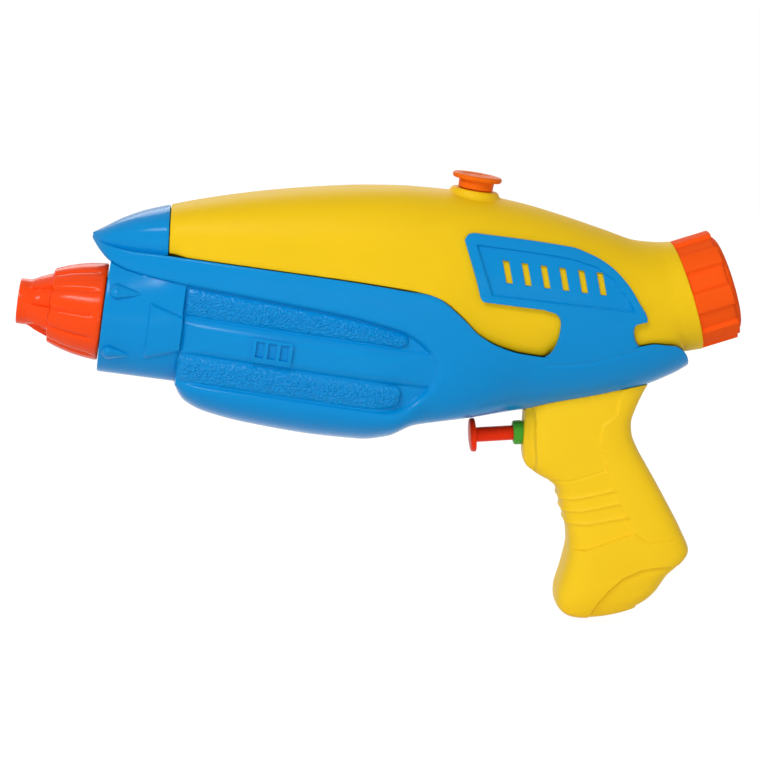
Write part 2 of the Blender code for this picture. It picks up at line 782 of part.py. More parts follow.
def shell(outer, smooth, wall, skip=(), front_normal=None):
    """Vertices and faces of a half shell between a grid of points and its inward offset.

    Grids hold columns of points at positive Y, with None where there is none. Points on the joint
    plane stay in it. Cells named in skip are left out.
    """
    columns = len(outer)
    rows = len(outer[0])
    cells = []
    for i in range(columns - 1):
        for j in range(rows - 1):
            corners = ((i, j), (i + 1, j), (i + 1, j + 1), (i, j + 1))
            if (i, j) not in skip and all(outer[a][b] for a, b in corners):
                cells.append(corners)
    normals = {}
    for corners in cells:
        p = [Vector(smooth[a][b]) for a, b in corners]
        normal = (p[2] - p[0]).cross(p[3] - p[1])
        for corner in corners:
            normals[corner] = normals.get(corner, Vector()) + normal
    side = 1.0 if sum(n.y for n in normals.values()) > 0 else -1.0
    verts = []
    number = {}
    for corner, normal in normals.items():
        point = Vector(smooth[corner[0]][corner[1]])
        on_joint = point.y <= SPLIT / 2 + 1e-6
        normal = normal * side
        if on_joint:
            normal.y = 0.0
        if front_normal and corner[0] == 0:
            normal = Vector(front_normal)
        inside = point - normal.normalized() * wall
        inside.y = SPLIT / 2 if on_joint else max(inside.y, SPLIT)
        number[corner] = len(verts)
        verts += [Vector(outer[corner[0]][corner[1]]), inside]
    faces = []
    edges = {}
    for corners in cells:
        ids = [number[c] for c in corners]
        faces.append(ids)
        faces.append([k + 1 for k in reversed(ids)])
        for a, b in zip(ids, ids[1:] + ids[:1]):
            edges[(a, b)] = edges.get((b, a), 0) + 1
            edges[(b, a)] = edges[(a, b)]
    seen = set()
    for corners in cells:
        ids = [number[c] for c in corners]
        for a, b in zip(ids, ids[1:] + ids[:1]):
            if edges[(a, b)] == 1 and (a, b) not in seen:
                seen |= {(a, b), (b, a)}
                faces.append([b, a, a + 1, b + 1])
    return verts, faces


def mirrored(verts, side):
    return [(v[0], v[1] * side, v[2]) for v in verts]


def half_wall(name, span, height_at, hole, side, parent):
    """A half wall across the covers: an outline round the barrel axis with a round hole in it."""
    steps = 14
    verts = []
    for x in span:
        for k in range(steps + 1):
            turn = -math.pi / 2 + math.pi * k / steps
            y, z = height_at(turn)
            verts.append((x, max(y, SPLIT / 2), z))
        for k in range(steps + 1):
            turn = -math.pi / 2 + math.pi * k / steps
            verts.append((x, max(hole * math.cos(turn), SPLIT / 2), hole * math.sin(turn)))
    loop = 2 * (steps + 1)
    outline = list(range(steps + 1)) + list(range(loop - 1, steps, -1))
    faces = []
    for a, b in zip(outline, outline[1:] + outline[:1]):
        faces.append([a, b, b + loop, a + loop])
    for k in range(steps):
        near = [k, k + 1, steps + 2 + k, steps + 1 + k]
        faces.append(near)
        faces.append([c + loop for c in reversed(near)])
    return add(name, mirrored(verts, side), faces, None, parent, helper=True)


def collar_inside(turn):
    """A point half way through the collar's wall."""
    grow = -COVER_WALL / 2
    y = (COLLAR_HALF_WIDTH + grow) * math.cos(turn)
    return y, COLLAR_MIDDLE + (COLLAR_HALF_HEIGHT + grow) * math.sin(turn)


def screw_axis(name, place, parent):
    """Local Z points from the joint plane to the right, where the heads are."""
    made = bpy.data.objects.new(name, None)
    bpy.context.scene.collection.objects.link(made)
    made.parent = parent
    made.location = (place[0], 0.0, place[1])
    made.rotation_euler = (-math.pi / 2, 0.0, 0.0)
    return made


def wall_depth(grid, place):
    """Half width of a grid of points near a place in the side view, less half the wall there."""
    near = [p for column in grid for p in column if p]
    near.sort(key=lambda p: (p[0] - place[0]) ** 2 + (p[2] - place[1]) ** 2)
    return min(p[1] for p in near[:4])


def add_boss(shell_object, axis, side, depth, name):
    """A screw boss from the joint plane to the wall, bored for the screw and its head."""
    low, high = sorted((side * SPLIT / 2, side * depth))
    combine(shell_object, rod_cutter(f"{name}_post", SCREW_BOSS, low, high, axis, 14), "UNION")
    if side > 0:
        combine(shell_object, rod_cutter(f"{name}_bore", SCREW_BORE, -depth, depth, axis, 12), "DIFFERENCE")
        recess = rod_cutter(f"{name}_recess", SCREW_RECESS, SCREW_SEAT, 2 * depth, axis, 14)
        combine(shell_object, recess, "DIFFERENCE")
    else:
        reach = SCREW_GRIP + FIT
        combine(shell_object, rod_cutter(f"{name}_pilot", SCREW_BORE, -reach, depth, axis, 12), "DIFFERENCE")


def make_screw(name, axis):
    seat = SCREW_SEAT + FIT
    profile = ((0.0, -SCREW_GRIP), (SCREW_RADIUS, -SCREW_GRIP), (SCREW_RADIUS, seat))
    profile += ((SCREW_HEAD_RADIUS, seat), (SCREW_HEAD_RADIUS * 0.8, seat + SCREW_HEAD))
    slot = SCREW_HEAD_RADIUS * 0.4
    profile += ((slot, seat + SCREW_HEAD), (slot, seat + SCREW_HEAD / 2), (0.0, seat + SCREW_HEAD / 2))
    turned(name, profile, "steel", axis, segments=12)


def half_outline(front, rear, half, count=12):
    """Points round half of a grip section, front to rear, with the right half's Y."""
    middle = (front + rear) / 2
    reach = (front - rear) / 2
    points = []
    for k in range(count + 1):
        turn = math.pi * k / count
        along = signed_power(math.cos(turn), 2 / GRIP_ROUND)
        y = half * abs(math.sin(turn)) ** (2 / GRIP_ROUND) if 0 < k < count else 0.0
        place = middle + reach * along
        points.append((place.x, max(y, SPLIT / 2), place.y))
    return points


def on_hull(points, lift):
    """Points moved up or down to just below the covers, plus a lift."""
    return [(x, y, hull_underside(x, y) - OPENING_GAP + lift) for x, y, z in points]


def grip_grid():
    columns = []
    tang = half_outline(Vector((TANG_FRONT, 0.0)), Vector((TANG_REAR, 0.0)), TANG_HALF_WIDTH)
    columns += [on_hull(tang, TANG_RISE), on_hull(tang, 0.0)]
    for number, (fx, fz, rx, rz, half, bulge) in enumerate(GRIP_STATIONS):
        outline = half_outline(Vector((fx, fz)), Vector((rx, rz)), half)
        count = len(outline) - 1
        drops = [bulge * math.sin(math.pi * k / count) for k in range(count + 1)]
        outline = [(p[0], p[1], p[2] - drop) for p, drop in zip(outline, drops)]
        if number == 0:
            outline = on_hull(outline, 0.0)
        columns.append(outline)
    return columns


def make_grip(side, name, datum, pump, screws):
    grid = grip_grid()
    verts, faces = shell(grid, grid, GRIP_WALL)
    grip = add(name, mirrored(verts, side), faces, "warm_yellow", datum)
    hole = rod_cutter(f"{name}_gland_hole", GLAND_NECK_RADIUS + OPENING_GAP, -GLAND_HEAD, CYLINDER_FRONT, pump)
    combine(grip, hole, "DIFFERENCE")
    for number, (place, axis) in enumerate(screws):
        depth = wall_depth(grid[3:], place) - GRIP_WALL / 2
        add_boss(grip, axis, side, depth, f"{name}_boss_{number}")
    return grip


def tang_opening(datum):
    """A cutter for the hole in the covers that the grip's tang passes through."""
    grow = OPENING_GAP
    front = Vector((TANG_FRONT - grow, 0.0))
    half = half_outline(front, Vector((TANG_REAR + grow, 0.0)), TANG_HALF_WIDTH + grow)
    rings = []
    for z in (HULL_BOTTOM[0][1], max(p[1] for p in HULL_BOTTOM)):
        right = [(x, y, z) for x, y, _ in half]
        rings.append(right + [(x, -y, z) for x, y, _ in reversed(right)])
    verts = rings[0] + rings[1]
    count = len(rings[0])
    numbers = [list(range(count)), list(range(count, 2 * count))]
    faces = ring_faces(numbers, False) + [numbers[0], numbers[1]]
    return add("tang_opening", verts, faces, None, datum, helper=True)


def panel_slots(datum):
    """Cutters for the row of slots through both side panels, parallel to the panels' front edges."""
    lean = PANEL_SLANT * SLOT_HEIGHT / (max(z for x, z in PANEL_TOP) - PANEL_LOW)
    half = SLOT_WIDTH / 2
    inside = min(s[4] for s in BODY_STATIONS[TANK_FRONT:])
    outside = 2 * max(s[4] for s in BODY_STATIONS)
    verts = []
    faces = []
    for k in range(SLOTS):
        x = SLOT_FIRST + k * SLOT_PITCH
        corners = ((x - half, 0.0), (x + half, 0.0), (x + half - lean, 1.0), (x - half - lean, 1.0))
        for side in (-1.0, 1.0):
            first = len(verts)
            for depth in (inside, outside):
                verts += [(cx, side * depth, SLOT_LOW + SLOT_HEIGHT * up) for cx, up in corners]
            near = list(range(first, first + 4))
            far = list(range(first + 4, first + 8))
            faces += ring_faces([near, far], False) + [near, far]
    return add("panel_slots", verts, faces, None, datum, helper=True)


def make_cover(side, name, datum, screws, opening, slots):
    positions = cover_positions()
    grid = [cover_column(x, 1.0) for x in positions]
    smooth = [cover_column(x, 0.0) for x in positions]
    beak_end = positions.index(COLLAR_FRONT) - 1
    verts, faces = shell(grid, smooth, COVER_WALL, {(beak_end, LIP_ROW)}, (-1.0, 0.0, 0.0))
    cover = add(name, mirrored(verts, side), faces, "blue", datum)
    combine(cover, opening, "DIFFERENCE")
    combine(cover, slots, "DIFFERENCE")
    ring = half_wall(f"{name}_ring", COLLAR_RING, collar_inside, SPIGOT_RADIUS + FIT, side, datum)
    combine(cover, ring, "UNION")
    wall = half_wall(f"{name}_bulkhead", BULKHEAD, collar_inside, JET_RADIUS + FIT, side, datum)
    combine(cover, wall, "UNION")
    for number, (place, axis) in enumerate(screws):
        depth = wall_depth(smooth, place) - COVER_WALL / 2
        add_boss(cover, axis, side, depth, f"{name}_boss_{number}")
    return cover


def lobed_ring(z, radius, count, drop, start=0.0):
    """A ring, turned by start, whose radius falls by drop(share) along each of its repeats."""
    ring = []
    for k in range(count):
        turn = start + 2 * math.pi * k / count
        r = radius - drop(k / count)
        ring.append((r * math.cos(turn), r * math.sin(turn), z))
    return ring


def make_nozzle(barrel):
    count = 4 * PETALS

    def plain(share):
        return 0.0

    def petals(share):
        return PETAL_GROOVE if (share * PETALS) % 1.0 < 1e-6 else 0.0

    def pockets(share):
        place = (share * POCKETS) % 1.0
        return POCKET_DEPTH if 1.01 - POCKET_SHARE < place < 0.99 else 0.0

    bore = JET_RADIUS + FIT
    front = NOZZLE_STEP_X + NOZZLE_WALL
    shoulder = (NOZZLE_BASE_RADIUS + NOZZLE_STEP_RADIUS) / 2
    flange = COLLAR_RING[1] + FIT
    inner = SPIGOT_RADIUS - NOZZLE_WALL
    rings = [
        (0.0, bore, plain),
        (0.0, NOZZLE_TIP_RADIUS, plain),
        (NOZZLE_TIP_LENGTH, NOZZLE_TIP_RADIUS, plain),
        (NOZZLE_STEP_X, NOZZLE_CONE_RADIUS, pockets),
        (NOZZLE_STEP_X, NOZZLE_STEP_RADIUS, petals),
        (NOZZLE_STEP_X + 0.45 * (NOZZLE_BASE_X - NOZZLE_STEP_X), shoulder + PETAL_GROOVE, petals),
        (NOZZLE_BASE_X, NOZZLE_BASE_RADIUS, petals),
        (NOZZLE_BASE_X, SPIGOT_RADIUS, plain),
        (flange, SPIGOT_RADIUS, plain),
        (flange, SPIGOT_FLANGE_RADIUS, plain),
        (flange + SPIGOT_FLANGE, SPIGOT_FLANGE_RADIUS, plain),
        (flange + SPIGOT_FLANGE, inner, plain),
        (front, inner - NOZZLE_WALL, plain),
        (front, bore, plain),
    ]
    rings = [lobed_ring(z, radius, count, drop, NOZZLE_TURN) for z, radius, drop in rings]
    return rings_object("nozzle", rings, True, "orange_red", barrel)


def make_jet_tube(barrel):
    collar = BULKHEAD[0] - FIT
    behind = BULKHEAD[1] + FIT
    end = behind + JET_FLANGE
    profile = (
        (JET_BORE, JET_FRONT),
        (JET_RADIUS, JET_FRONT),
        (JET_RADIUS, collar - JET_FLANGE),
        (JET_FLANGE_RADIUS, collar - JET_FLANGE),
        (JET_FLANGE_RADIUS, collar),
        (JET_RADIUS, collar),
        (JET_RADIUS, behind),
        (JET_FLANGE_RADIUS, behind),
        (JET_FLANGE_RADIUS, end),
        (BARB_RADIUS, end),
        (BARB_RADIUS, end + BARB_LENGTH),
        (JET_BORE, end + BARB_LENGTH),
    )
    turned("jet_tube", profile, "white", barrel, segments=16)
    return end + FIT


def make_cap(neck):
    """Cap with broad lobes, skinned from the middle of its end round to the inside of its roof."""
    count = 6 * CAP_LOBES

    def lobes(share):
        return 0.0 if (share * CAP_LOBES) % 1.0 < 0.5 - 1e-6 else CAP_LOBE

    def plain(share):
        return 0.0

    outside = CAP_RECESS_RADIUS + CAP_LOBE
    rings = [
        (CAP_LENGTH, CAP_FLAT_RADIUS, plain),
        (CAP_LENGTH - CAP_RIM / 4, (CAP_FLAT_RADIUS + CAP_DOME_RADIUS) / 2, plain),
        (CAP_LENGTH - CAP_RIM, CAP_DOME_RADIUS, plain),
        (CAP_LENGTH - CAP_RIM, outside, lobes),
        (FIT, outside, lobes),
        (FIT, CAP_BORE, plain),
        (CAP_ROOF_AT, CAP_BORE, plain),
    ]
    rings = [lobed_ring(z, radius, count, drop, CAP_TURN) for z, radius, drop in rings]
    rings = [[(0.0, 0.0, CAP_LENGTH)]] + rings + [[(0.0, 0.0, CAP_ROOF_AT)]]
    rings_object("tank_cap", rings, False, "orange", neck)


def make_cap_liner(neck):
    profile = ((0.0, 0.0), (LINER_RADIUS, 0.0), (LINER_RADIUS, LINER_LENGTH), (0.0, LINER_LENGTH))
    turned("cap_liner", profile, "white", neck, LINER_AT, segments=32)


def make_fill_plug(seat):
    stem = BOSS_RISE + FIT
    flange = stem + PLUG_STEM_RISE
    top = flange + PLUG_FLANGE
    inside = BOSS_BORE - FIT
    tip = BOSS_RISE - PLUG_DEPTH
    profile = (
        (0.0, tip),
        (0.85 * inside, tip),
        (inside, tip + PLUG_DISH),
        (inside, stem),
        (PLUG_STEM_RADIUS, stem),
        (PLUG_STEM_RADIUS, flange),
        (PLUG_FLANGE_RADIUS, flange),
        (PLUG_FLANGE_RADIUS, top - PLUG_DISH),
        (PLUG_FLANGE_RADIUS - PLUG_DISH, top),
        (PLUG_STEM_RADIUS, top),
        (PLUG_STEM_RADIUS - PLUG_DISH, top - PLUG_DISH),
        (0.0, top - PLUG_DISH),
    )
    turned("fill_plug", profile, "pale_orange", seat, segments=28)


def make_gland(pump):
    seat = GLAND_LENGTH - SEAL_LENGTH - FIT
    bore = ROD_RADIUS + FIT
    pocket = bore + SEAL_THICKNESS + FIT
    profile = (
        (bore, 0.0),
        (GLAND_RADIUS, 0.0),
        (GLAND_RADIUS, GLAND_HEAD - OPENING_GAP),
        (GLAND_NECK_RADIUS, GLAND_HEAD - OPENING_GAP),
        (GLAND_NECK_RADIUS, GLAND_LENGTH),
        (pocket, GLAND_LENGTH),
        (pocket, seat),
        (bore, seat),
    )
    turned("gland_bush", profile, "green", pump, segments=24)
    ring = ((bore, 0.0), (bore + SEAL_THICKNESS, 0.0), (bore + SEAL_THICKNESS, SEAL_LENGTH), (bore, SEAL_LENGTH))
    turned("rod_seal", ring, "black", pump, seat + FIT, segments=20)


def piston_start():
    return GLAND_LENGTH + FIT


def make_trigger(pump):
    back = -ROD_OUT
    front = back - DISC_LENGTH
    piston = piston_start()
    rod = (
        (0.0, front),
        (DISC_RADIUS * 0.92, front),
        (DISC_RADIUS, front + DISC_LENGTH * 0.25),
        (DISC_RADIUS, back),
        (ROD_RADIUS, back),
        (ROD_RADIUS, piston - FIT),
        (PISTON_PIN_RADIUS, piston - FIT),
        (PISTON_PIN_RADIUS, piston + PISTON_LENGTH),
        (0.0, piston + PISTON_LENGTH),
    )
    turned("trigger_rod", rod, "red", pump, segments=24)
    bore = PISTON_PIN_RADIUS + FIT
    land = (PISTON_LENGTH - PISTON_SEAL_LENGTH) / 2 - FIT
    groove = PISTON_RADIUS - SEAL_THICKNESS - FIT
    head = (
        (bore, 0.0),
        (PISTON_RADIUS, 0.0),
        (PISTON_RADIUS, land),
        (groove, land),
        (groove, PISTON_LENGTH - land),
        (PISTON_RADIUS, PISTON_LENGTH - land),
        (PISTON_RADIUS, PISTON_LENGTH),
        (bore, PISTON_LENGTH),
    )
    turned("piston", head, "white", pump, piston, segments=20)
    ring = groove + FIT
    outer = PISTON_RADIUS + PISTON_SEAL_PROUD
    seal = ((ring, 0.0), (outer, 0.0), (outer, PISTON_SEAL_LENGTH), (ring, PISTON_SEAL_LENGTH))
    turned("piston_seal", seal, "black", pump, piston + land + FIT, segments=20)


def valve_axis(name, pump, up):
    """Local Z runs out from the pump's axis, up or down, through the ports."""
    made = bpy.data.objects.new(name, None)
    bpy.context.scene.collection.objects.link(made)
    made.parent = pump
    made.location = (0.0, 0.0, PORT_AT)
    made.rotation_euler = (0.0, -math.pi / 2 if up else math.pi / 2, 0.0)
    return made


def stub_end():
    return CYLINDER_RADIUS + STUB_LENGTH


def make_cylinder(pump, inlet, outlet):
    """Cylinder with a stub above and below, drilled after they are joined to it."""
    end = CYLINDER_END
    profile = (
        (0.0, CYLINDER_FRONT),
        (FLANGE_RADIUS, CYLINDER_FRONT),
        (FLANGE_RADIUS, CYLINDER_FRONT + FLANGE_LENGTH),
        (CYLINDER_RADIUS, CYLINDER_FRONT + FLANGE_LENGTH),
        (CYLINDER_RADIUS, end),
        (0.0, end),
    )
    cylinder = turned("pump_cylinder", profile, "white", pump, segments=20)
    valves = (("inlet", inlet), ("outlet", outlet))
    for name, axis in valves:
        combine(cylinder, rod_cutter(f"{name}_stub", STUB_RADIUS, 0.0, stub_end(), axis, 16), "UNION")
    bore = rod_cutter("cylinder_bore", CYLINDER_BORE, 0.0, end - CYLINDER_WALL, pump)
    combine(cylinder, bore, "DIFFERENCE")
    for name, axis in valves:
        chamber = rod_cutter(f"{name}_chamber", STUB_BORE, CYLINDER_RADIUS, 2 * stub_end(), axis, 16)
        combine(cylinder, chamber, "DIFFERENCE")
        combine(cylinder, rod_cutter(f"{name}_port", PORT_RADIUS, 0.0, stub_end(), axis, 12), "DIFFERENCE")


def ball(name, axis, at):
    steps = 8
    turns = [math.pi * k / steps for k in range(steps + 1)]
    profile = [(BALL_RADIUS * math.sin(a), -BALL_RADIUS * math.cos(a)) for a in turns]
    profile[0] = (0.0, -BALL_RADIUS)
    profile[-1] = (0.0, BALL_RADIUS)
    turned(name, profile, "steel", axis, at, segments=12)


def ball_drop():
    """How far a ball's middle lies over the edge that it rests on."""
    return math.sqrt((BALL_RADIUS + FIT) ** 2 - PORT_RADIUS**2)


def make_inlet(inlet):
    """Barbed fitting under the lower stub, whose inner end is the ball's seat."""
    flange = stub_end() + FIT
    seat = stub_end() - PLUG_IN
    spigot = STUB_BORE - FIT
    profile = (
        (PORT_RADIUS, seat),
        (spigot, seat),
        (spigot, flange),
        (STUB_RADIUS, flange),
        (STUB_RADIUS, flange + JET_FLANGE),
        (BARB_RADIUS, flange + JET_FLANGE),
        (BARB_RADIUS, flange + JET_FLANGE + BARB_LENGTH),
        (BARB_BORE, flange + JET_FLANGE + BARB_LENGTH),
        (BARB_BORE, flange),
    )
    turned("inlet_fitting", profile, "white", inlet, segments=16)
    ball("inlet_ball", inlet, seat - ball_drop())
    return flange + JET_FLANGE


def make_outlet(outlet):
    """Elbow on the upper stub, turning the water forward to the nozzle."""
    flange = stub_end() + FIT
    turn = flange + ELBOW_RISE
    spigot = STUB_BORE - FIT
    stop = stub_end() - PLUG_IN
    post = (
        (0.0, stop),
        (spigot, stop),
        (spigot, flange),
        (STUB_RADIUS, flange),
        (STUB_RADIUS, flange + JET_FLANGE),
        (spigot, flange + JET_FLANGE),
        (spigot, turn + spigot),
        (0.0, turn + spigot),
    )
    elbow = turned("outlet_elbow", post, "white", outlet, segments=16)
    forward = bpy.data.objects.new("elbow_axis", None)
    bpy.context.scene.collection.objects.link(forward)
    forward.parent = outlet
    forward.location = (0.0, 0.0, turn)
    forward.rotation_euler = (0.0, -math.pi / 2, 0.0)
    reach = spigot + BARB_LENGTH
    combine(elbow, rod_cutter("elbow_barb", BARB_RADIUS, 0.0, reach, forward, 14), "UNION")
    combine(elbow, rod_cutter("elbow_bore", BARB_BORE, 0.0, 2 * reach, forward, 10), "DIFFERENCE")
    combine(elbow, rod_cutter("elbow_riser", BARB_BORE, 0.0, turn + BARB_BORE, outlet, 10), "DIFFERENCE")
    ball("outlet_ball", outlet, CYLINDER_RADIUS + ball_drop())
    return forward, spigot + FIT


def make_spring(pump):
    """Coil between the piston and the end of the cylinder."""
    start = piston_start() + PISTON_LENGTH + FIT + SPRING_WIRE / 2
    end = CYLINDER_END - CYLINDER_WALL - FIT - SPRING_WIRE / 2
    steps = 12 * SPRING_TURNS
    path = []
    for k in range(steps + 1):
        turn = 2 * math.pi * SPRING_TURNS * k / steps
        height = start + (end - start) * k / steps
        path.append(Vector((SPRING_RADIUS * math.cos(turn), SPRING_RADIUS * math.sin(turn), height)))
    rings = tube_rings(path, SPRING_WIRE / 2, 6)
    verts = [p for ring in rings for p in ring]
    numbers = [list(range(6 * k, 6 * k + 6)) for k in range(len(rings))]
    faces = ring_faces(numbers, False) + [numbers[0], numbers[-1]]
    add("return_spring", verts, faces, "steel", pump)


def tube_rings(path, radius, sides):
    """Rings of points square to a path, without twist."""
    rings = []
    across = None
    for k, point in enumerate(path):
        ahead = (path[min(k + 1, len(path) - 1)] - path[max(k - 1, 0)]).normalized()
        if across is None:
            across = ahead.orthogonal().normalized()
        across = (across - ahead * across.dot(ahead)).normalized()
        other = ahead.cross(across)
        turns = [2 * math.pi * n / sides for n in range(sides)]
        rings.append([tuple(point + (across * math.cos(a) + other * math.sin(a)) * radius) for a in turns])
    return rings


def smooth_path(points, spacing):
    """Points every so often along a smooth curve through the given ones."""
    points = [points[0] * 2 - points[1]] + list(points) + [points[-1] * 2 - points[-2]]
    path = []
    for a, b, c, d in zip(points, points[1:], points[2:], points[3:]):
        steps = max(2, round((c - b).length / spacing))
        for k in range(steps):
            t = k / steps
            cubic = 2 * b + (c - a) * t + (2 * a - 5 * b + 4 * c - d) * t**2 + (3 * b - a - 3 * c + d) * t**3
            path.append(cubic / 2)
    return path + [points[-2]]


def make_hose(name, points, datum, spacing):
    path = smooth_path(points, spacing)
    sides = 10
    outer = tube_rings(path, HOSE_RADIUS, sides)
    inner = tube_rings(path, HOSE_BORE, sides)
    rings = outer + inner[::-1]
    rings_object(name, rings, True, "clear", datum)


def in_datum(axis, points, datum):
    """Local points of an empty, in the datum's frame."""
    bpy.context.view_layer.update()
    to_datum = datum.matrix_world.inverted() @ axis.matrix_world
    return [to_datum @ Vector((0.0, 0.0, z)) for z in points]


def route(points):
    return [Vector((x, 0.0, z)) for x, z in points]


def build():
    clear_scene()
    datum = empty("datum", None, (-HAND_X, 0.0, -HAND_Z))
    barrel = empty("barrel_axis", datum, (0.0, 0.0, 0.0), (1.0, 0.0))
    neck = empty("neck_axis", datum, (NECK_X, 0.0, NECK_Z), neck_direction())
    lean = math.radians(PLUG_TILT)
    top = float(np.interp(PLUG_X, TABLE[:, 0], TABLE[:, 1]))
    plug_seat = empty("plug_axis", datum, (PLUG_X, 0.0, top), (math.sin(lean), math.cos(lean)))
    tilt = math.radians(PUMP_TILT)
    pump = empty("pump_axis", datum, (PUMP_X, 0.0, PUMP_Z), (math.cos(tilt), math.sin(tilt)))
    inlet = valve_axis("inlet_axis", pump, False)
    outlet = valve_axis("outlet_axis", pump, True)
    cover_screws = [(p, screw_axis(f"cover_screw_axis_{k}", p, datum)) for k, p in enumerate(COVER_SCREWS)]
    grip_screws = [(p, screw_axis(f"grip_screw_axis_{k}", p, datum)) for k, p in enumerate(GRIP_SCREWS)]

    make_tank(datum, neck, plug_seat)
    make_cap(neck)
    make_cap_liner(neck)
    make_fill_plug(plug_seat)
    opening = tang_opening(datum)
    slots = panel_slots(datum)
    for side, word in ((-1.0, "left"), (1.0, "right")):
        make_cover(side, f"cover_{word}", datum, cover_screws, opening, slots)
        make_grip(side, f"grip_{word}", datum, pump, grip_screws)
    for k, (place, axis) in enumerate(cover_screws):
        make_screw(f"cover_screw_{k + 1}", axis)
    for k, (place, axis) in enumerate(grip_screws):
        make_screw(f"grip_screw_{k + 1}", axis)
    make_nozzle(barrel)
    jet_end = make_jet_tube(barrel)
    make_gland(pump)
    make_trigger(pump)
    make_cylinder(pump, inlet, outlet)
    make_spring(pump)
    inlet_end = make_inlet(inlet)
    forward, elbow_start = make_outlet(outlet)

    from_elbow = in_datum(forward, (elbow_start, elbow_start + BARB_LENGTH), datum)
    to_jet = in_datum(barrel, (jet_end + BARB_LENGTH, jet_end), datum)
    make_hose("delivery_hose", from_elbow + route(DELIVERY_ROUTE) + to_jet, datum, 3 * HOSE_RADIUS)
    below = inlet_end + FIT
    to_inlet = in_datum(inlet, (below + BARB_LENGTH, below), datum)
    from_spout = [Vector((SPOUT_X, 0.0, spout_top() - HOSE_WALL - FIT))]
    make_hose("suction_hose", from_spout + route(SUCTION_ROUTE) + to_inlet, datum, 2 * HOSE_RADIUS)


build()
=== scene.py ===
import math

import bmesh
import bpy
import numpy as np
from mathutils import Matrix, Vector


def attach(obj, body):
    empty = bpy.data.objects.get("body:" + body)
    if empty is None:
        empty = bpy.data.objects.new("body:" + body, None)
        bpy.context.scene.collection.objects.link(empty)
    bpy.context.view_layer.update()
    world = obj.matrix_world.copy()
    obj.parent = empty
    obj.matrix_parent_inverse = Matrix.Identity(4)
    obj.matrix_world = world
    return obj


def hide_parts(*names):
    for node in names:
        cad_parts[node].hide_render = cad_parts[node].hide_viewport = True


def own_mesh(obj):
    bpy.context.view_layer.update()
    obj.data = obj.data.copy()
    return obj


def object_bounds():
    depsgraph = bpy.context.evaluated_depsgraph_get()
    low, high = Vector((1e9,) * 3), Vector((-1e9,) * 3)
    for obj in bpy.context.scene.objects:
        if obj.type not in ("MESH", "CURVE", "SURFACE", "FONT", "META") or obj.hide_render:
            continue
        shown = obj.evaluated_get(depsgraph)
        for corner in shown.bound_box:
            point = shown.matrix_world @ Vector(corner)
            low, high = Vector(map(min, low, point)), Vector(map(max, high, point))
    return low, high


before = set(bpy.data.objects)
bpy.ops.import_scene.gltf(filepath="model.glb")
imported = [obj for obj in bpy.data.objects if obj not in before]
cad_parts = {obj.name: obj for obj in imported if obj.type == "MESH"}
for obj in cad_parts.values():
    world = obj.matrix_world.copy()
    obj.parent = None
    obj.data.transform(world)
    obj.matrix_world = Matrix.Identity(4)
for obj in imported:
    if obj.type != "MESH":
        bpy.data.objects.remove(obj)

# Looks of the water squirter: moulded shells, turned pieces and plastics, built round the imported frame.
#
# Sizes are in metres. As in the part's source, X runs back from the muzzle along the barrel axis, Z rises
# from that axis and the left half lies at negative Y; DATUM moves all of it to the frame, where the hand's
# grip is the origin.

CAD_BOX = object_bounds()
SAME = 1e-7  # places closer than this are one
INWARD_ROUNDS = 12  # how often a shell's inward directions are smoothed
SHARP = 35.0  # degrees from which an edge stays sharp, where a piece has no other
CORNER_SHARE = 0.45  # of a profile's side, at most, for rounding a corner at its end
CORNER_STEPS = 4

# Fits
SPLIT = 0.00006  # between a left and a right half
FIT = 0.0003  # between pieces that touch
TANK_GAP = 0.0006
OPENING_GAP = 0.0005

# The middle of the hand on the grip, which is the frame's origin
HAND_X = 0.2440
HAND_Z = -0.0460
DATUM = np.array((-HAND_X, 0.0, -HAND_Z))

# Filler neck at the rear of the tank
NECK_X = 0.26245
NECK_Z = 0.0379
NECK_TILT = math.radians(25.0)
SHOULDER_RADIUS = 0.0224
NECK_RADIUS = 0.0186
NECK_LENGTH = 0.0134
NECK_WALL = 0.0018

# Body: top x and z, bottom x and z, and half width of each station from the beak's tip to the neck
BODY_STATIONS = (
    (0.0255, 0.0309, 0.0259, 0.0282, 0.0008),
    (0.0300, 0.0338, 0.0300, 0.0260, 0.0070),
    (0.0360, 0.0378, 0.0360, 0.0246, 0.0110),
    (0.0440, 0.0419, 0.0440, 0.0238, 0.0143),
    (0.0548, 0.0459, 0.0548, 0.0232, 0.0173),
    (0.0700, 0.0508, 0.0700, 0.0215, 0.0206),
    (0.0900, 0.0562, 0.0900, 0.0195, 0.0237),
    (0.1100, 0.0606, 0.1100, 0.0172, 0.0259),
    (0.1300, 0.0641, 0.1300, 0.0137, 0.0274),
    (0.1500, 0.0662, 0.1500, 0.0085, 0.0283),
    (0.1700, 0.0668, 0.1700, 0.0035, 0.0285),
    (0.1900, 0.0655, 0.1920, 0.0030, 0.0280),
    (0.2100, 0.0625, 0.2160, 0.0050, 0.0268),
    (0.2260, 0.0594, 0.2380, 0.0088, 0.0250),
    (0.2395, 0.0569, 0.2555, 0.0128, 0.0232),
    (0.2475, 0.0573, 0.2643, 0.0153, 0.0223),
)
CROWN_ROUND = 2.25  # superellipse power over the tank's widest line
BELLY_ROUND = 2.8  # and under it
HULL_ROUND_FRONT = 4.0  # and under it on the covers, behind the stripes
HULL_ROUND_REAR = 2.2
HULL_ROUND_FADE = (0.1650, 0.2050)
HULL_ROWS = 1.5  # power by which the rows there draw together towards the keel
ROUND_FROM = 12  # station after which the section turns into the neck's circle
ROUND_OVER = 3.0  # stations that this takes
TANK_FRONT = 4  # station where the tank's skin starts, behind the beak
SEAM_GAP = 0.0008  # open over the covers' upper edge
SEAM_DEPTH = 0.0022  # how far the tank draws in under it
SEAM_END = (0.2640, 0.2605)
SEAM_START = (0.0560, 0.0640)
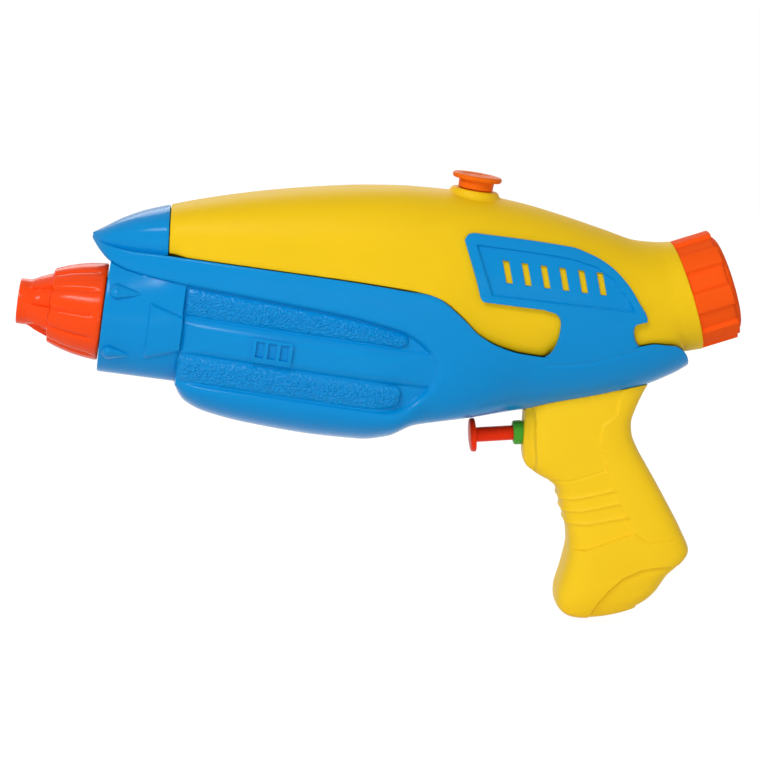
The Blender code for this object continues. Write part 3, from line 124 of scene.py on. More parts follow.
SEAM_SEARCH = (0.3, 0.94)  # half turns from a section's top between which it lies
SEAM_TRIES = 1500
SEAM_SWELL = 0.0013  # how far the tank's flank stands out along it
SEAM_SWELL_RUN = 0.0042
SEAM_WALL = (0.04, 0.16, 0.45, 1.0)  # shares of its depth from row to row
FLANK_STEPS = 48  # rows of the tank from its top to the seam
FLANK_CLOSER = 1.6  # power by which they draw together there
HIDDEN_STEPS = 17  # and rows under the covers
TANK_RINGS = 110
TANK_WALL = 0.0016
TANK_START = 0.4  # table steps from the covers' edge to the first whole ring
INSIDE_RINGS = 14
INSIDE_MARGIN = 5  # table steps that they keep from both ends
SNOUT_LENGTH = 0.0110
SNOUT_RINGS = ((1.0, 0.30), (0.8, 0.55), (0.4, 0.80), (0.0, 1.0))  # share of its length, and scale

# Covers
COVER_WALL = 0.0018
COVER_PROUD = COVER_WALL + TANK_GAP
HULL_BOTTOM = (
    (0.0652, -0.0242), (0.0672, -0.0279), (0.0700, -0.0306), (0.0780, -0.0337), (0.0950, -0.0360),
    (0.1200, -0.0371), (0.1400, -0.0364), (0.1510, -0.0336), (0.1600, -0.0273), (0.1680, -0.0249),
    (0.1880, -0.0204), (0.2160, -0.0130), (0.2440, -0.0034), (0.2620, 0.0066), (0.2662, 0.0100),
)
BAND_TOP = (
    (0.0254, 0.0298), (0.0320, 0.0281), (0.0420, 0.0277), (0.0560, 0.0284), (0.0900, 0.0290),
    (0.1250, 0.0293), (0.1490, 0.0288), (0.1580, 0.0280), (0.1640, 0.0263), (0.1710, 0.0220),
    (0.1800, 0.0152), (0.1880, 0.0119), (0.1970, 0.0101), (0.2090, 0.0096), (0.2220, 0.0112),
    (0.2360, 0.0158), (0.2440, 0.0188), (0.2500, 0.0203), (0.2575, 0.0203), (0.2612, 0.0188),
    (0.2640, 0.0160), (0.2657, 0.0128), (0.2662, 0.0112),
)
BAND_LOW = (
    (0.0256, 0.0290), (0.0286, 0.0260), (0.0342, 0.0221), (0.0430, 0.0197), (0.0620, 0.0183),
    (0.0930, 0.0173), (0.1300, 0.0155), (0.1490, 0.0129),
)
LIP_PROUD = 0.00038
LIP_ROUND = 0.0014  # of the band's lower edge
RIDGE_ROUND = 0.0009  # of its upper edge
STRIPE_INSET = 0.0030
STRIPE_BULGE = 0.0019
RIB_BULGE = 0.0025
RIB_TOP = 0.0056
RIB_BOTTOM = -0.0088
RIB_ROUND = 2.6  # power across the rib, and of its fall to both sides
RIB_FALL = 0.9
RIB_SUNK = 0.0016  # the rib's crest under the rim that it runs into
RIB_SUNK_LEAD = 0.0060  # how far ahead of the recess's end this sets in
KEEL_EDGE = -0.0210
KEEL_LIP = 0.0014
KEEL_NOSE = (0.0652, 0.0760)  # where the keel swells out in front
KEEL_NOSE_SHARE = 0.12  # by which it is thinner at first
STEP_RUN = 0.0008
RECESS_FADE = (0.1500, 0.1680)
RECESS_DEEP = (0.1400, 0.1560)  # where the recess's depth starts to follow the hull
RECESS_EDGE = (
    (0.1430, 0.0139), (0.1490, 0.0127), (0.1553, 0.0102), (0.1612, 0.0060), (0.1648, 0.0010),
    (0.1653, -0.0046), (0.1619, -0.0108), (0.1553, -0.0172), (0.1499, -0.0198), (0.1430, -0.0212),
)
WALL_RUN = 0.0007  # the recess's wall, inside its edge
RIM_RUN = 0.0018  # and the rounding outside it
RIM_RUN_REAR = 0.0028
RIM_FALL = 2.5  # power of that rounding
EDGE_DROP = 0.0003  # rounding of the covers' free edges
TIP_RUN = 0.0080  # over which the wall thins towards the covers' rear tip
TIP_WALL = 0.35  # share of it that is left there
EVEN = (0.0720, 0.1420)  # along the barrel, where little changes
NOSE_END = 0.0542  # of the covers over the band
NOSE_LEAN = 0.0016  # of the joint between the nose and the tank
NOSE_LEAN_RUN = 0.0120  # over which the tank stands upright again
CREASE = ((0.2079, 0.0066), (0.2217, 0.0087), (0.2431, 0.0168))  # under the bridge
CREASE_DEPTH = 0.00035
CREASE_WIDTH = 0.0004

# Collar round the nozzle, with its raised plate and two drops
COLLAR_FRONT = 0.0340
COLLAR_REAR = 0.0644
COLLAR_HALF_WIDTH = 0.0210
COLLAR_HALF_HEIGHT = 0.0221
COLLAR_MIDDLE = -0.0015
COLLAR_STEP = 0.0008
COLLAR_INSET = 0.0019  # under the band, at its rear
COLLAR_INSET_LEAD = 0.0060  # how far ahead of the collar's ends it sets in and is full
COLLAR_UNDER = 0.0001  # its upper edge under the band's lower one
PLATE = (0.0512, 0.0649)  # front and rear
PLATE_TOP = (0.0100, 0.0060)
PLATE_LOW = (-0.0133, -0.0087)
PLATE_HEIGHT = 0.0014
PLATE_SLOPE = 0.0012
PLATE_COLUMNS = 26
PLATE_ROWS = 34
DROPS = ((0.0353, 0.0480, 0.0120), (0.0351, 0.0464, -0.0127))  # front, rear and height
DROP_HALF_WIDTH = 0.0029
DROP_HEIGHT = 0.0026
DROP_WIDEST = 0.25  # share of its length
DROP_TAPER = 0.8  # power of its fall from there to the point
DROP_LEAST = 0.01  # share of its width left at both ends
DROP_COLUMNS = 30
DROP_ROWS = 17
EDGE_SUNK = 0.00005  # how deep the edges of raised plates and drops lie

# Side panel over the tank, and the bridge that carries it
PANEL_FRONT = 0.1767
PANEL_SLANT = 0.0085
PANEL_LOW = 0.0284
PANEL_CORNER = 0.0026
PANEL_CORNER_RISE = 1.3
PANEL_ROUND = 0.0008
PANEL_TOP = (
    (0.1681, 0.0510), (0.1687, 0.0529), (0.1701, 0.0541), (0.1724, 0.0546), (0.1880, 0.0546),
    (0.2100, 0.0540), (0.2190, 0.0520), (0.2265, 0.0488), (0.2345, 0.0425), (0.2406, 0.0352),
    (0.2440, 0.0312),
)
PANEL_END = PANEL_TOP[-1][0]
PANEL_PLATE = (
    (0.1729, 0.0503), (0.1884, 0.0503), (0.1995, 0.0501), (0.2106, 0.0496), (0.2210, 0.0478),
    (0.2280, 0.0441), (0.2356, 0.0371), (0.2393, 0.0318), (0.2100, 0.0316), (0.1818, 0.0314),
)
PANEL_SUNK = 0.0013
PANEL_STEP = (-0.0002, 0.0008)  # its wall, inwards from the outline
BRIDGE = (0.2060, 0.2430)  # front and rear
# How far its front and rear edges draw in, at shares of its height
BRIDGE_FRONT = (
    (0.0, 0.0), (0.1, 0.0022), (0.28, 0.0037), (0.54, 0.0044), (0.76, 0.0042), (0.88, 0.0032),
    (0.97, 0.0008), (1.0, -0.0028),
)
BRIDGE_REAR = ((0.0, 0.0), (0.14, -0.0014), (0.41, -0.0028), (0.65, -0.0033), (0.84, -0.0028), (1.0, 0.0006))
BRIDGE_SPREAD = 0.0060  # how far from an edge its shape still tells
BRIDGE_BLEND = 0.0030  # over which the bridge runs into the hull and the panel
SLOTS = 6
SLOT_FIRST = 0.1880
SLOT_PITCH = 0.0075
SLOT_WIDTH = 0.0026
SLOT_LOW = 0.0370
SLOT_HEIGHT = 0.0085
SLOT_INSIDE = 0.0120
CUT_REACH = 0.0500  # outer end of all cuts through the sides

# Vent plate on the rib
VENT = (0.0928, 0.1085)  # front and rear
VENT_LOW = -0.0075
VENT_HIGH = 0.0021
VENT_WINDOW = (-0.0053, 0.0010)
VENT_SLOTS = 3
VENT_BAR = 0.0015
VENT_HEIGHT = 0.0012

# Pebbled pads in the recess
PAD_FRONT = 0.0658
PAD_REAR = 0.1526
PAD_CORNER = 0.0030
PAD_CUT_IN = 0.8  # share of that rounding by which its corners draw in
PAD_FRONT_STEP = 0.0010  # how much of the rounding is left out in front
PAD_TUCK = (0.1370, 0.0030)  # where the lower pad's underside starts to rise, and how far it does
PAD_GAP = 0.0004
PAD_ROUND = 2.6  # power across a pad
PAD_COLUMNS = 340
PAD_ROWS = 46
PEBBLE_HEIGHT = 0.00065
PEBBLE_PITCH = 0.00105
PEBBLE_SIZE = (0.37, 0.49)  # smallest and largest radius, as shares of the pitch

# Grip: front x and z, rear x and z, half width and bulge of each station from the covers to the butt
GRIP_STATIONS = (
    (0.2050, -0.0184, 0.2526, -0.0020, 0.0132, 0.0),
    (0.2064, -0.0290, 0.2484, -0.0140, 0.0132, 0.0),
    (0.2086, -0.0378, 0.2493, -0.0195, 0.0132, 0.0),
    (0.2130, -0.0408, 0.2527, -0.0257, 0.0130, 0.0),
    (0.2218, -0.0452, 0.2575, -0.0320, 0.0130, 0.0),
    (0.2261, -0.0540, 0.2620, -0.0378, 0.0130, 0.0),
    (0.2302, -0.0640, 0.2685, -0.0465, 0.0132, 0.0),
    (0.2312, -0.0702, 0.2753, -0.0560, 0.0140, 0.0),
    (0.2306, -0.0780, 0.2800, -0.0645, 0.0143, 0.0),
    (0.2292, -0.0880, 0.2777, -0.0696, 0.0142, 0.0),
    (0.2296, -0.0920, 0.2734, -0.0750, 0.0138, 0.0),
    (0.2320, -0.0953, 0.2696, -0.0828, 0.0124, 0.0007),
    (0.2345, -0.0967, 0.2660, -0.0875, 0.0095, 0.0020),
    (0.2373, -0.0977, 0.2622, -0.0911, 0.0000, 0.0024),
)
GRIP_LOW = -0.09887
GRIP_ROUND = 4.0
GRIP_WALL = 0.0020
GRIP_STEPS = 22
GRIP_COUNT = 92
GRIP_ASPECT = 0.65  # of its sections, for even steps round them
GRIP_FACING = (0.30, 0.75)  # how far a place faces sideways, or down, for its steps to set in
GRIP_BOSS = (
    (0.2076, -0.0134), (0.2086, -0.0157), (0.2095, -0.0201), (0.2104, -0.0261), (0.2114, -0.0309),
    (0.2125, -0.0361), (0.2127, -0.0420),
)
GRIP_BOSS_DEPTH = 0.0020
GRIP_BOSS_SPAN = (-0.0002, 0.0005)  # distances from its line over which it steps
GRIP_BOSS_FADE = (-0.0430, -0.0390)  # heights over which it sets in
CHEEK_EDGE = (
    (0.2413, -0.0060), (0.2413, -0.0116), (0.2364, -0.0170), (0.2363, -0.0225), (0.2391, -0.0310),
    (0.2409, -0.0342), (0.2447, -0.0426), (0.2475, -0.0477), (0.2518, -0.0527), (0.2554, -0.0585),
)
CHEEK_DEPTH = 0.0007
GRIP_STEP_SPAN = (0.0, 0.0006)  # the same for the cheeks and the butt
GRIP_RIDGES = (
    ((0.2150, -0.0512), (0.2306, -0.0479), (0.2447, -0.0426)),
    ((0.2180, -0.0556), (0.2328, -0.0528), (0.2475, -0.0477)),
    ((0.2200, -0.0597), (0.2356, -0.0579), (0.2518, -0.0527)),
)
RIDGE_HEIGHT = 0.0006
RIDGE_HALF_WIDTH = 0.0011
CHEEK_LINE_DEPTH = 0.0003
CHEEK_LINE_WIDTH = 0.0004
CHEEK_LINE = ((0.2150, -0.0436), (0.2262, -0.0416), (0.2410, -0.0348))
BUTT_LINE = (
    (0.2200, -0.0700), (0.2294, -0.0695), (0.2373, -0.0681), (0.2460, -0.0635), (0.2554, -0.0585),
    (0.2575, -0.0597), (0.2620, -0.0614), (0.2686, -0.0599), (0.2751, -0.0580), (0.2850, -0.0550),
)
BUTT_HEIGHT = 0.0008
BUTT_UNDERSIDE = -0.0900
HEEL_LINE = (
    (0.2420, -0.1000), (0.2440, -0.0930), (0.2460, -0.0882), (0.2492, -0.0829), (0.2538, -0.0774),
    (0.2606, -0.0731), (0.2664, -0.0713), (0.2724, -0.0703), (0.2850, -0.0690),
)
HEEL_DEPTH = 0.0005
HEEL_SPAN = (0.0, 0.0005)

# Nozzle
NOZZLE_BASE_X = 0.0334
NOZZLE_BASE_RADIUS = 0.0194
NOZZLE_STEP_X = 0.0123
NOZZLE_TIP_RADIUS = 0.0090
NOZZLE_FACE_RADIUS = 0.0062  # of the dished face round the jet
NOZZLE_CONE_RADIUS = 0.0126
NOZZLE_WALL = 0.0024
NOZZLE_TIP = (
    (0.0, NOZZLE_TIP_RADIUS),
    (0.0036, NOZZLE_TIP_RADIUS),
    (0.0079, 0.0108),
    (NOZZLE_STEP_X, NOZZLE_CONE_RADIUS),
)
PETAL_PROFILE = (
    (NOZZLE_STEP_X, 0.0143),
    (0.0150, 0.0155),
    (0.0190, 0.0169),
    (0.0240, 0.0182),
    (0.0290, 0.0190),
    (NOZZLE_BASE_X, NOZZLE_BASE_RADIUS),
)
NOZZLE_TURN = math.radians(-4.0)
PETALS = 12
PETAL_ARCH = 0.0010  # how far a petal's front edge bows
PETAL_STEP = 0.0007  # length of the rise from the tip to the petals
PETAL_GROOVE = 0.0010
PETAL_GROOVE_SHARE = 0.26  # of half a petal, for the groove's steep part
PETAL_GROOVE_PARTS = (0.5, 0.7)  # of its depth, for the broad part and the steep one
PETAL_FADE = 0.0060  # over which the grooves run out at the base
POCKETS = 4
POCKET_DEPTH = 0.0022
POCKET_SIDE = 0.03  # share of the pitch taken by a pocket's side
POCKET_RUN = (0.0030, 0.0085)
NOZZLE_TIP_ROUND = 0.0005
NOZZLE_BASE_ROUND = 0.0004
NOZZLE_SEGMENTS = 216
SPIGOT_RADIUS = 0.0146
SPIGOT_FLANGE_RADIUS = 0.0172
SPIGOT_FLANGE = 0.0022
COLLAR_RING = (0.0370, 0.0395)  # front and rear of the covers' wall that holds the spigot
BULKHEAD = (0.0500, 0.0520)  # and of the one that holds the jet
JET_RADIUS = 0.0029

# Pump, along its own axis back from the gland's front face
PUMP_X = 0.2023
PUMP_Z = -0.0268
PUMP_TILT = math.radians(11.0)
ROD_RADIUS = 0.0030
ROD_OUT = 0.0151
DISC_RADIUS = 0.0068
DISC_LENGTH = 0.0028
GLAND_RADIUS = 0.0049
GLAND_HEAD = 0.0040
GLAND_LENGTH = 0.0090
GLAND_NECK_RADIUS = 0.0046
SEAL_LENGTH = 0.0013
SEAL_THICKNESS = 0.0006
CYLINDER_WALL = 0.0016
CYLINDER_END = 0.0350
PISTON_LENGTH = 0.0032
PISTON_PIN_RADIUS = 0.0018
SPRING_WIRE = 0.0007
SPRING_RADIUS = 0.0039
SPRING_TURNS = 6
SPRING_STEPS = 24  # of a turn
SPRING_SIDES = 10

# Cap
CAP_WALL = 0.0015
CAP_ROOF = 0.0027
CAP_LOBE = 0.0010
CAP_LOBES = 8
CAP_LOBE_SIDE = 0.02  # share of the pitch taken by half a lobe's side
CAP_ROUND = 0.0005
CAP_VALLEY_ROUND = 0.0016
CAP_RIM = 0.0023
CAP_DOME_RADIUS = 0.0196
CAP_FLAT_RADIUS = 0.0150
CAP_INNER_RADIUS = 0.0080  # of a ring of points within the flat
CAP_MIDDLE = 0.0001  # radius at which its roof's faces end
CAP_TURN = math.radians(-10.0)
CAP_SEGMENTS = 256
CAP_VALLEY = 0.0005  # how much deeper the valleys between the lobes are than in the CAD
LINER_LENGTH = 0.0012
THREAD_HEIGHT = 0.0009

# Plug on top of the tank
PLUG_X = 0.1724
PLUG_TILT = math.radians(1.4)
BOSS_RADIUS = 0.0100
BOSS_TOP_RADIUS = 0.0093
BOSS_RISE = 0.0016
BOSS_ROOT = 0.0030
BOSS_BORE = 0.0062
BOSS_SEGMENTS = 72
PLUG_STEM_RADIUS = 0.0070
PLUG_STEM_RISE = 0.0036
PLUG_FLANGE_RADIUS = 0.0098
PLUG_FLANGE = 0.0021
PLUG_DEPTH = 0.0056
PLUG_DISH = 0.0006

# Screws, from the right: x and z
COVER_SCREWS = ((0.0580, -0.0140), (0.1120, -0.0280), (0.1780, -0.0135))
GRIP_SCREWS = ((0.2185, -0.0385), (0.2640, -0.0580), (0.2460, -0.0800))
SCREW_RECESS = 0.0029
SCREW_SEAT = 0.0040
SCREW_SIDES = 24
WELL_DEPTH = 0.0006  # of a well's rim under the skin
BOSS_WALL = 0.0012

# Camera, fitted to the photograph: a frame of 760 by 760 pixels
IMAGE_SIZE = 760
FOCAL_PIXELS = 2600.0
SENSOR = 36.0
CAMERA_ROLL = math.radians(8.3)
CAMERA_TURN = math.radians(3.4)
CAMERA_RISE = math.radians(11.0)
CAMERA_AT = (-0.186401, -1.019095, 0.221006)

# Materials and light
GLOSS_SPREAD = (0.85, 1.15)  # of a plastic's roughness
WORLD_LIGHT = 0.34
FLOOR_GLOW = 1.18  # of the floor as the camera sees it
FLOOR_GLOW_SHARE = 0.80  # the rest of it takes the shadow
FLOOR_COLOUR = (0.92, 0.92, 0.92, 1.0)
FLOOR_REACH = 60.0
FLOOR_GAP = 0.0005
LAMPS = (  # name, place, target, size, watts and whether it shows in reflections
    ("key", (-0.75, -0.95, 0.83), (-0.1, 0.0, 0.0), (0.64, 0.20), 7.9, True),
    ("top", (0.15, -0.95, 1.05), (-0.1, 0.0, 0.0), (0.9, 0.4), 0.5, False),
    ("low", (-0.05, -1.20, 0.0), (-0.05, 0.0, 0.05), (0.9, 0.08), 3.1, False),
    ("back", (-0.30, 1.20, 0.80), (-0.1, 0.0, 0.0), (0.9, 0.6), 4.5, True),
)


def curve(points, x):
    """Heights at x on a smooth curve, without overshoot, through (x, height) points in order of x."""
    xs, ys = np.array(points, float).T
    x = np.clip(x, xs[0], xs[-1])
    i = np.clip(np.searchsorted(xs, x, side="right") - 1, 0, len(xs) - 2)
    widths = np.diff(xs)
    secants = np.diff(ys) / widths
    before, after = secants[:-1], secants[1:]
    same = before * after > 0
    inner = np.where(same, 2 * before * after / np.where(same, before + after, 1.0), 0.0)
    slopes = np.concatenate(([secants[0]], inner, [secants[-1]]))
    t = (x - xs[i]) / widths[i]
    start = (1 + 2 * t) * (1 - t) ** 2 * ys[i] + t * (1 - t) ** 2 * widths[i] * slopes[i]
    end = t * t * (3 - 2 * t) * ys[i + 1] - t * t * (1 - t) * widths[i] * slopes[i + 1]
    return start + end


def smooth_step(low, high, x):
    t = np.clip((x - low) / (high - low), 0.0, 1.0)
    return t * t * (3 - 2 * t)


def mix(a, b, share):
    return a + (b - a) * share


def signed_power(value, power):
    return np.sign(value) * np.abs(value) ** power


def bell(distance, width):
    """One at no distance, falling to zero on both sides."""
    return np.exp(-((distance / width) ** 2))


def superellipse(share, power):
    """Half width, from 1 to 0, at a share of the half height."""
    return (1 - share**power) ** (1 / power)


def eased(count):
    """Shares from 0 to 1, closer together at both ends."""
    return (1 - np.cos(np.pi * np.linspace(0, 1, count + 1))) / 2


def between(rows, place):
    """Each column of a table at places between its rows, on smooth curves."""
    rows = np.array(rows, float)
    whole = np.arange(len(rows))
    return [curve(np.stack([whole, c], 1), place) for c in rows.T]


def smooth_line(points, count):
    """Points along a smooth curve through the given ones."""
    return np.stack(between(points, np.linspace(0, len(points) - 1, count)), 1)


def turns(count):
    """Equal turns once round."""
    return 2 * np.pi * np.arange(count) / count


def line_distance(x, z, line):
    """Distance of points of the side view from a line of points."""
    x, z = np.broadcast_arrays(x, z)
    best = np.full(x.shape, np.inf)
    for (ax, az), (bx, bz) in zip(line[:-1], line[1:]):
        dx, dz = bx - ax, bz - az
        t = np.clip(((x - ax) * dx + (z - az) * dz) / (dx * dx + dz * dz), 0.0, 1.0)
        best = np.minimum(best, np.hypot(x - ax - t * dx, z - az - t * dz))
    return best


def inside_distance(x, z, outline):
    """Distance from a closed outline of the side view, above zero inside it."""
    x, z = np.broadcast_arrays(x, z)
    outline = np.array(outline, float)
    inside = np.zeros(x.shape, bool)
    for (ax, az), (bx, bz) in zip(outline, np.roll(outline, -1, axis=0)):
        crosses = (az > z) != (bz > z)
        at = ax + (z - az) * (bx - ax) / np.where(bz == az, 1.0, bz - az)
        inside ^= crosses & (x < at)
    distance = line_distance(x, z, np.concatenate([outline, outline[:1]]))
    return np.where(inside, distance, -distance)


# The body's form, as in the part's source
def neck_direction():
    return np.array((math.cos(NECK_TILT), 0.0, math.sin(NECK_TILT)))


def body_table():
    """Stations between the given ones, on smooth curves, with the neck's shoulder as the last."""
    along = neck_direction()
    rise = np.array((-along[2], along[0])) * SHOULDER_RADIUS
    middle = np.array((NECK_X, NECK_Z))
    stations = BODY_STATIONS + ((*(middle + rise), *(middle - rise), SHOULDER_RADIUS),)
    place = np.arange((len(stations) - 1) * TABLE_STEPS + 1) / TABLE_STEPS
    return np.stack(between(stations, place), 1)


TABLE_STEPS = 10
TABLE = body_table()


def section_at(number):
    """Top x and z, bottom x and z and half width at rows of the table that need not be whole."""
    rows = np.arange(len(TABLE))
    return [np.interp(number, rows, c) for c in TABLE.T]


def section_through(x, z):
    """Rows of the table whose planes hold points of the side view."""
    x, z = np.broadcast_arrays(np.asarray(x, float), np.asarray(z, float))
    flat_x, flat_z = x.reshape(-1, 1), z.reshape(-1, 1)
    share = (flat_z - TABLE[:, 3]) / (TABLE[:, 1] - TABLE[:, 3])
    line = TABLE[:, 2] + share * (TABLE[:, 0] - TABLE[:, 2])
    after = np.clip((line <= flat_x).sum(1), 1, len(TABLE) - 1)
    each = np.arange(len(after))
    low, high = line[each, after - 1], line[each, after]
    number = after - 1 + np.clip((flat_x[:, 0] - low) / (high - low), 0.0, 1.0)
    return number.reshape(x.shape)


def powers(number):
    """Superellipse powers over and under the widest line."""
    blend = np.clip((number / TABLE_STEPS - ROUND_FROM) / ROUND_OVER, 0.0, 1.0)
    return mix(CROWN_ROUND, 2.0, blend), mix(BELLY_ROUND, 2.0, blend)


def body_half_width(x, z, grow):
    """Half width of the tank's form, grown by an amount, at places of the side view."""
    number = section_through(x, z)
    tx, tz, bx, bz, half = section_at(number)
    length = np.hypot(tx - bx, tz - bz)
    height = ((x - (tx + bx) / 2) * (tx - bx) + (z - (tz + bz) / 2) * (tz - bz)) / length
    over, under = powers(number)
    power = np.where(height >= 0, over, under)
    share = np.minimum(np.abs(height) / (length / 2 + grow), 1.0)
    return (half + grow) * superellipse(share, power)


def hull_power(x):
    """Superellipse power of the covers under their widest line."""
    return mix(HULL_ROUND_FRONT, HULL_ROUND_REAR, smooth_step(*HULL_ROUND_FADE, x))


def hull_half_width(x, z):
    """Half width of the covers' smooth outer form."""
    _, tz, _, bz, half = section_at(section_through(x, z))
    middle = (tz + bz) / 2
    share = np.clip((middle - z) / (middle - curve(HULL_BOTTOM, x)), 0.0, 1.0)
    under = (half + COVER_PROUD) * superellipse(share, hull_power(x))
    return np.where(z >= middle, body_half_width(x, z, COVER_PROUD), under)


def hull_underside(x, y):
    """Height of the covers' smooth outer form at a distance from the middle plane."""
    low = curve(HULL_BOTTOM, x)
    _, tz, _, bz, half = section_at(section_through(x, low))
    middle = (tz + bz) / 2
    share = np.minimum(np.abs(y) / (half + COVER_PROUD), 1.0)
    return middle - (middle - low) * superellipse(share, hull_power(x))


# Meshes
def new_object(name, data):
    """An object of the scene that holds a mesh, lamp or camera."""
    made = bpy.data.objects.new(name, data)
    bpy.context.scene.collection.objects.link(made)
    return made


def add(name, verts, faces, material, sharp=SHARP):
    """A mesh object from points in the part's coordinates."""
    mesh = bpy.data.meshes.new(name)
    mesh.from_pydata((np.asarray(verts, float) + DATUM).tolist(), [], faces)
    bm = bmesh.new()
    bm.from_mesh(mesh)
    bmesh.ops.delete(bm, geom=[v for v in bm.verts if not v.link_faces], context="VERTS")
    bmesh.ops.recalc_face_normals(bm, faces=bm.faces)
    if bm.calc_volume(signed=True) < 0:
        bmesh.ops.reverse_faces(bm, faces=bm.faces)
    bm.to_mesh(mesh)
    bm.free()
    mesh.shade_smooth()
    mesh.set_sharp_from_angle(angle=math.radians(sharp))
    mesh.materials.append(material)
    return new_object(name, mesh)


def piece(made, body, slot, *nodes):
    """Rides a body and stands for CAD nodes, which it hides; its slot is not used."""
    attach(made, body)
    if nodes:
        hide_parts(*nodes)


def ring_faces(count, rings, closed_chain):
    """Faces between each ring of points and the next."""
    faces = []
    pairs = [(r, r + 1) for r in range(rings - 1)]
    if closed_chain:
        pairs.append((rings - 1, 0))
    for a, b in pairs:
        for k in range(count):
            n = (k + 1) % count
            faces.append((a * count + k, a * count + n, b * count + n, b * count + k))
    return faces


def skinned(name, rings, material, closed_chain=False, caps=(False, False), sharp=SHARP):
    """A mesh over rings of equal counts, capped at its ends where asked."""
    rings = [np.asarray(r, float) for r in rings]
    count = len(rings[0])
    verts = np.concatenate(rings)
    faces = ring_faces(count, len(rings), closed_chain)
    for cap, first in zip(caps, (0, (len(rings) - 1) * count)):
        if cap:
            centre = len(verts)
            verts = np.concatenate([verts, verts[first : first + count].mean(0)[None]])
            faces += [(first + k, first + (k + 1) % count, centre) for k in range(count)]
    return add(name, verts, faces, material, sharp)


def ring_at(radius, z, turn):
    """Local points at turns round an axis."""
    return np.stack([radius * np.cos(turn), radius * np.sin(turn), np.full(len(turn), z)], 1)


def placed(points, origin, direction):
    """Local points, whose Z lies along a direction of the middle plane, in the part's coordinates."""
    z = np.asarray(direction, float) / np.linalg.norm(direction)
    y = np.array((0.0, 1.0, 0.0))
    return np.asarray(points) @ np.stack([np.cross(y, z), y, z]) + np.asarray(origin)


def rounded(profile, radius):
    """A profile of (radius, z) points with its corners, apart from the first and last, rounded off."""
    points = [np.array(p, float) for p in profile]
    out = [points[0]]
    for before, at, after in zip(points, points[1:], points[2:]):
        a, b = before - at, after - at
        reach = min(radius, CORNER_SHARE * np.linalg.norm(a), CORNER_SHARE * np.linalg.norm(b))
        start = at + a / np.linalg.norm(a) * reach
        end = at + b / np.linalg.norm(b) * reach
        for t in np.linspace(0, 1, CORNER_STEPS + 1):
            out.append((1 - t) ** 2 * start + 2 * t * (1 - t) * at + t * t * end)
    return out + [points[-1]]


def turned(name, profile, material, origin, direction, segments, radius, closed=False):
    """A turned piece about an axis, from (radius, z) points with softened corners."""
    if closed:
        soft = rounded((*profile, profile[0]), radius)[:-1]
    else:
        soft = rounded(profile, radius)
    least = 1e-5
    rings = [placed(ring_at(max(r, least), z, turns(segments)), origin, direction) for r, z in soft]
    return skinned(name, rings, material, closed, (not closed, not closed))


def unit(vectors):
    """A grid of vectors, each brought to length one."""
    least = 1e-12
    return vectors / np.maximum(np.linalg.norm(vectors, axis=2, keepdims=True), least)


def corners(grid):
    """Views of a grid that give the four corners of its cells, in order round them."""
    return grid[:-1, :-1], grid[1:, :-1], grid[1:, 1:], grid[:-1, 1:]


def grid_normals(grid):
    """Normals of a grid of points, NaN where it has none, smoothed along the grid, and its whole cells."""
    cells = np.logical_and.reduce(corners(~np.isnan(grid[..., 0])))
    a, b, c, d = corners(np.nan_to_num(grid))
    cell_normals = np.cross(c - a, d - b) * cells[..., None]
    normals = np.zeros_like(grid)
    for corner in corners(normals):
        corner += cell_normals
    if normals[..., 1].sum() < 0:
        normals = -normals
    return unit(normals), cells


def spread(normals, rounds):
    """Normals averaged with their neighbours several times over."""
    for _ in range(rounds):
        total = normals.copy()
        total[1:] += normals[:-1]
        total[:-1] += normals[1:]
        total[:, 1:] += normals[:, :-1]
        total[:, :-1] += normals[:, 1:]
        normals = unit(total)
    return normals


def edge_points(cells):
    """Grid points on the free edge of a set of cells."""
    around = sum(corners(np.pad(cells.astype(int), 1)))
    return (around > 0) & (around < 4)


def shell(grid, wall, skip=None, drop=0.0):
    """Points and faces of a closed half shell under a grid of points at positive Y."""
    normals, cells = grid_normals(grid)
    if skip is not None:
        cells &= ~skip
    inward = spread(normals, INWARD_ROUNDS)
    joint = grid[..., 1] <= SPLIT / 2 + SAME
    inward[joint, 1] = 0.0
    inward = unit(inward)
    inner = grid - inward * wall
    outer = grid.copy()
    soft = edge_points(cells) & ~joint
    outer[soft] -= inward[soft] * drop
    inner[..., 1] = np.where(joint, SPLIT / 2, np.maximum(inner[..., 1], SPLIT))
    outer[..., 1] = np.maximum(outer[..., 1], SPLIT / 2)
    columns, rows = cells.shape
    number = np.arange((columns + 1) * (rows + 1)).reshape(columns + 1, rows + 1)
    half = number.size
    faces = []
    for i, j in zip(*np.nonzero(cells)):
        ids = (number[i, j], number[i + 1, j], number[i + 1, j + 1], number[i, j + 1])
        faces.append(ids)
        faces.append(tuple(k + half for k in reversed(ids)))
        for a, b, c, d in ((0, 1, 0, -1), (1, 2, 1, 0), (2, 3, 0, 1), (3, 0, -1, 0)):
            near = (i + c, j + d)
            within = 0 <= near[0] < columns and 0 <= near[1] < rows
            if not (within and cells[near]):
                faces.append((ids[b], ids[a], ids[a] + half, ids[b] + half))
    return np.nan_to_num(np.stack([outer, inner]).reshape(-1, 3)), faces


def column(x, y, z):
    """Points of one section across the body."""
    return np.stack([np.full_like(z, x), y, z], 1)


def mirrored(verts, side):
    """Points of the right half, moved to the left where side is -1."""
    return verts * np.array((1.0, side, 1.0))


def cut(target, tool):
    """Takes a closed tool out of a mesh."""
    modifier = target.modifiers.new("cut", "BOOLEAN")
    modifier.solver = "EXACT"
    modifier.operation = "DIFFERENCE"
    modifier.object = tool
    graph = bpy.context.evaluated_depsgraph_get()
    result = bpy.data.meshes.new_from_object(target.evaluated_get(graph))
    target.modifiers.clear()
    target.data = result
    bpy.data.objects.remove(tool)


def join(target, *others):
    """Makes other meshes part of one."""
    with bpy.context.temp_override(active_object=target, selected_editable_objects=[target, *others]):
        bpy.ops.object.join()


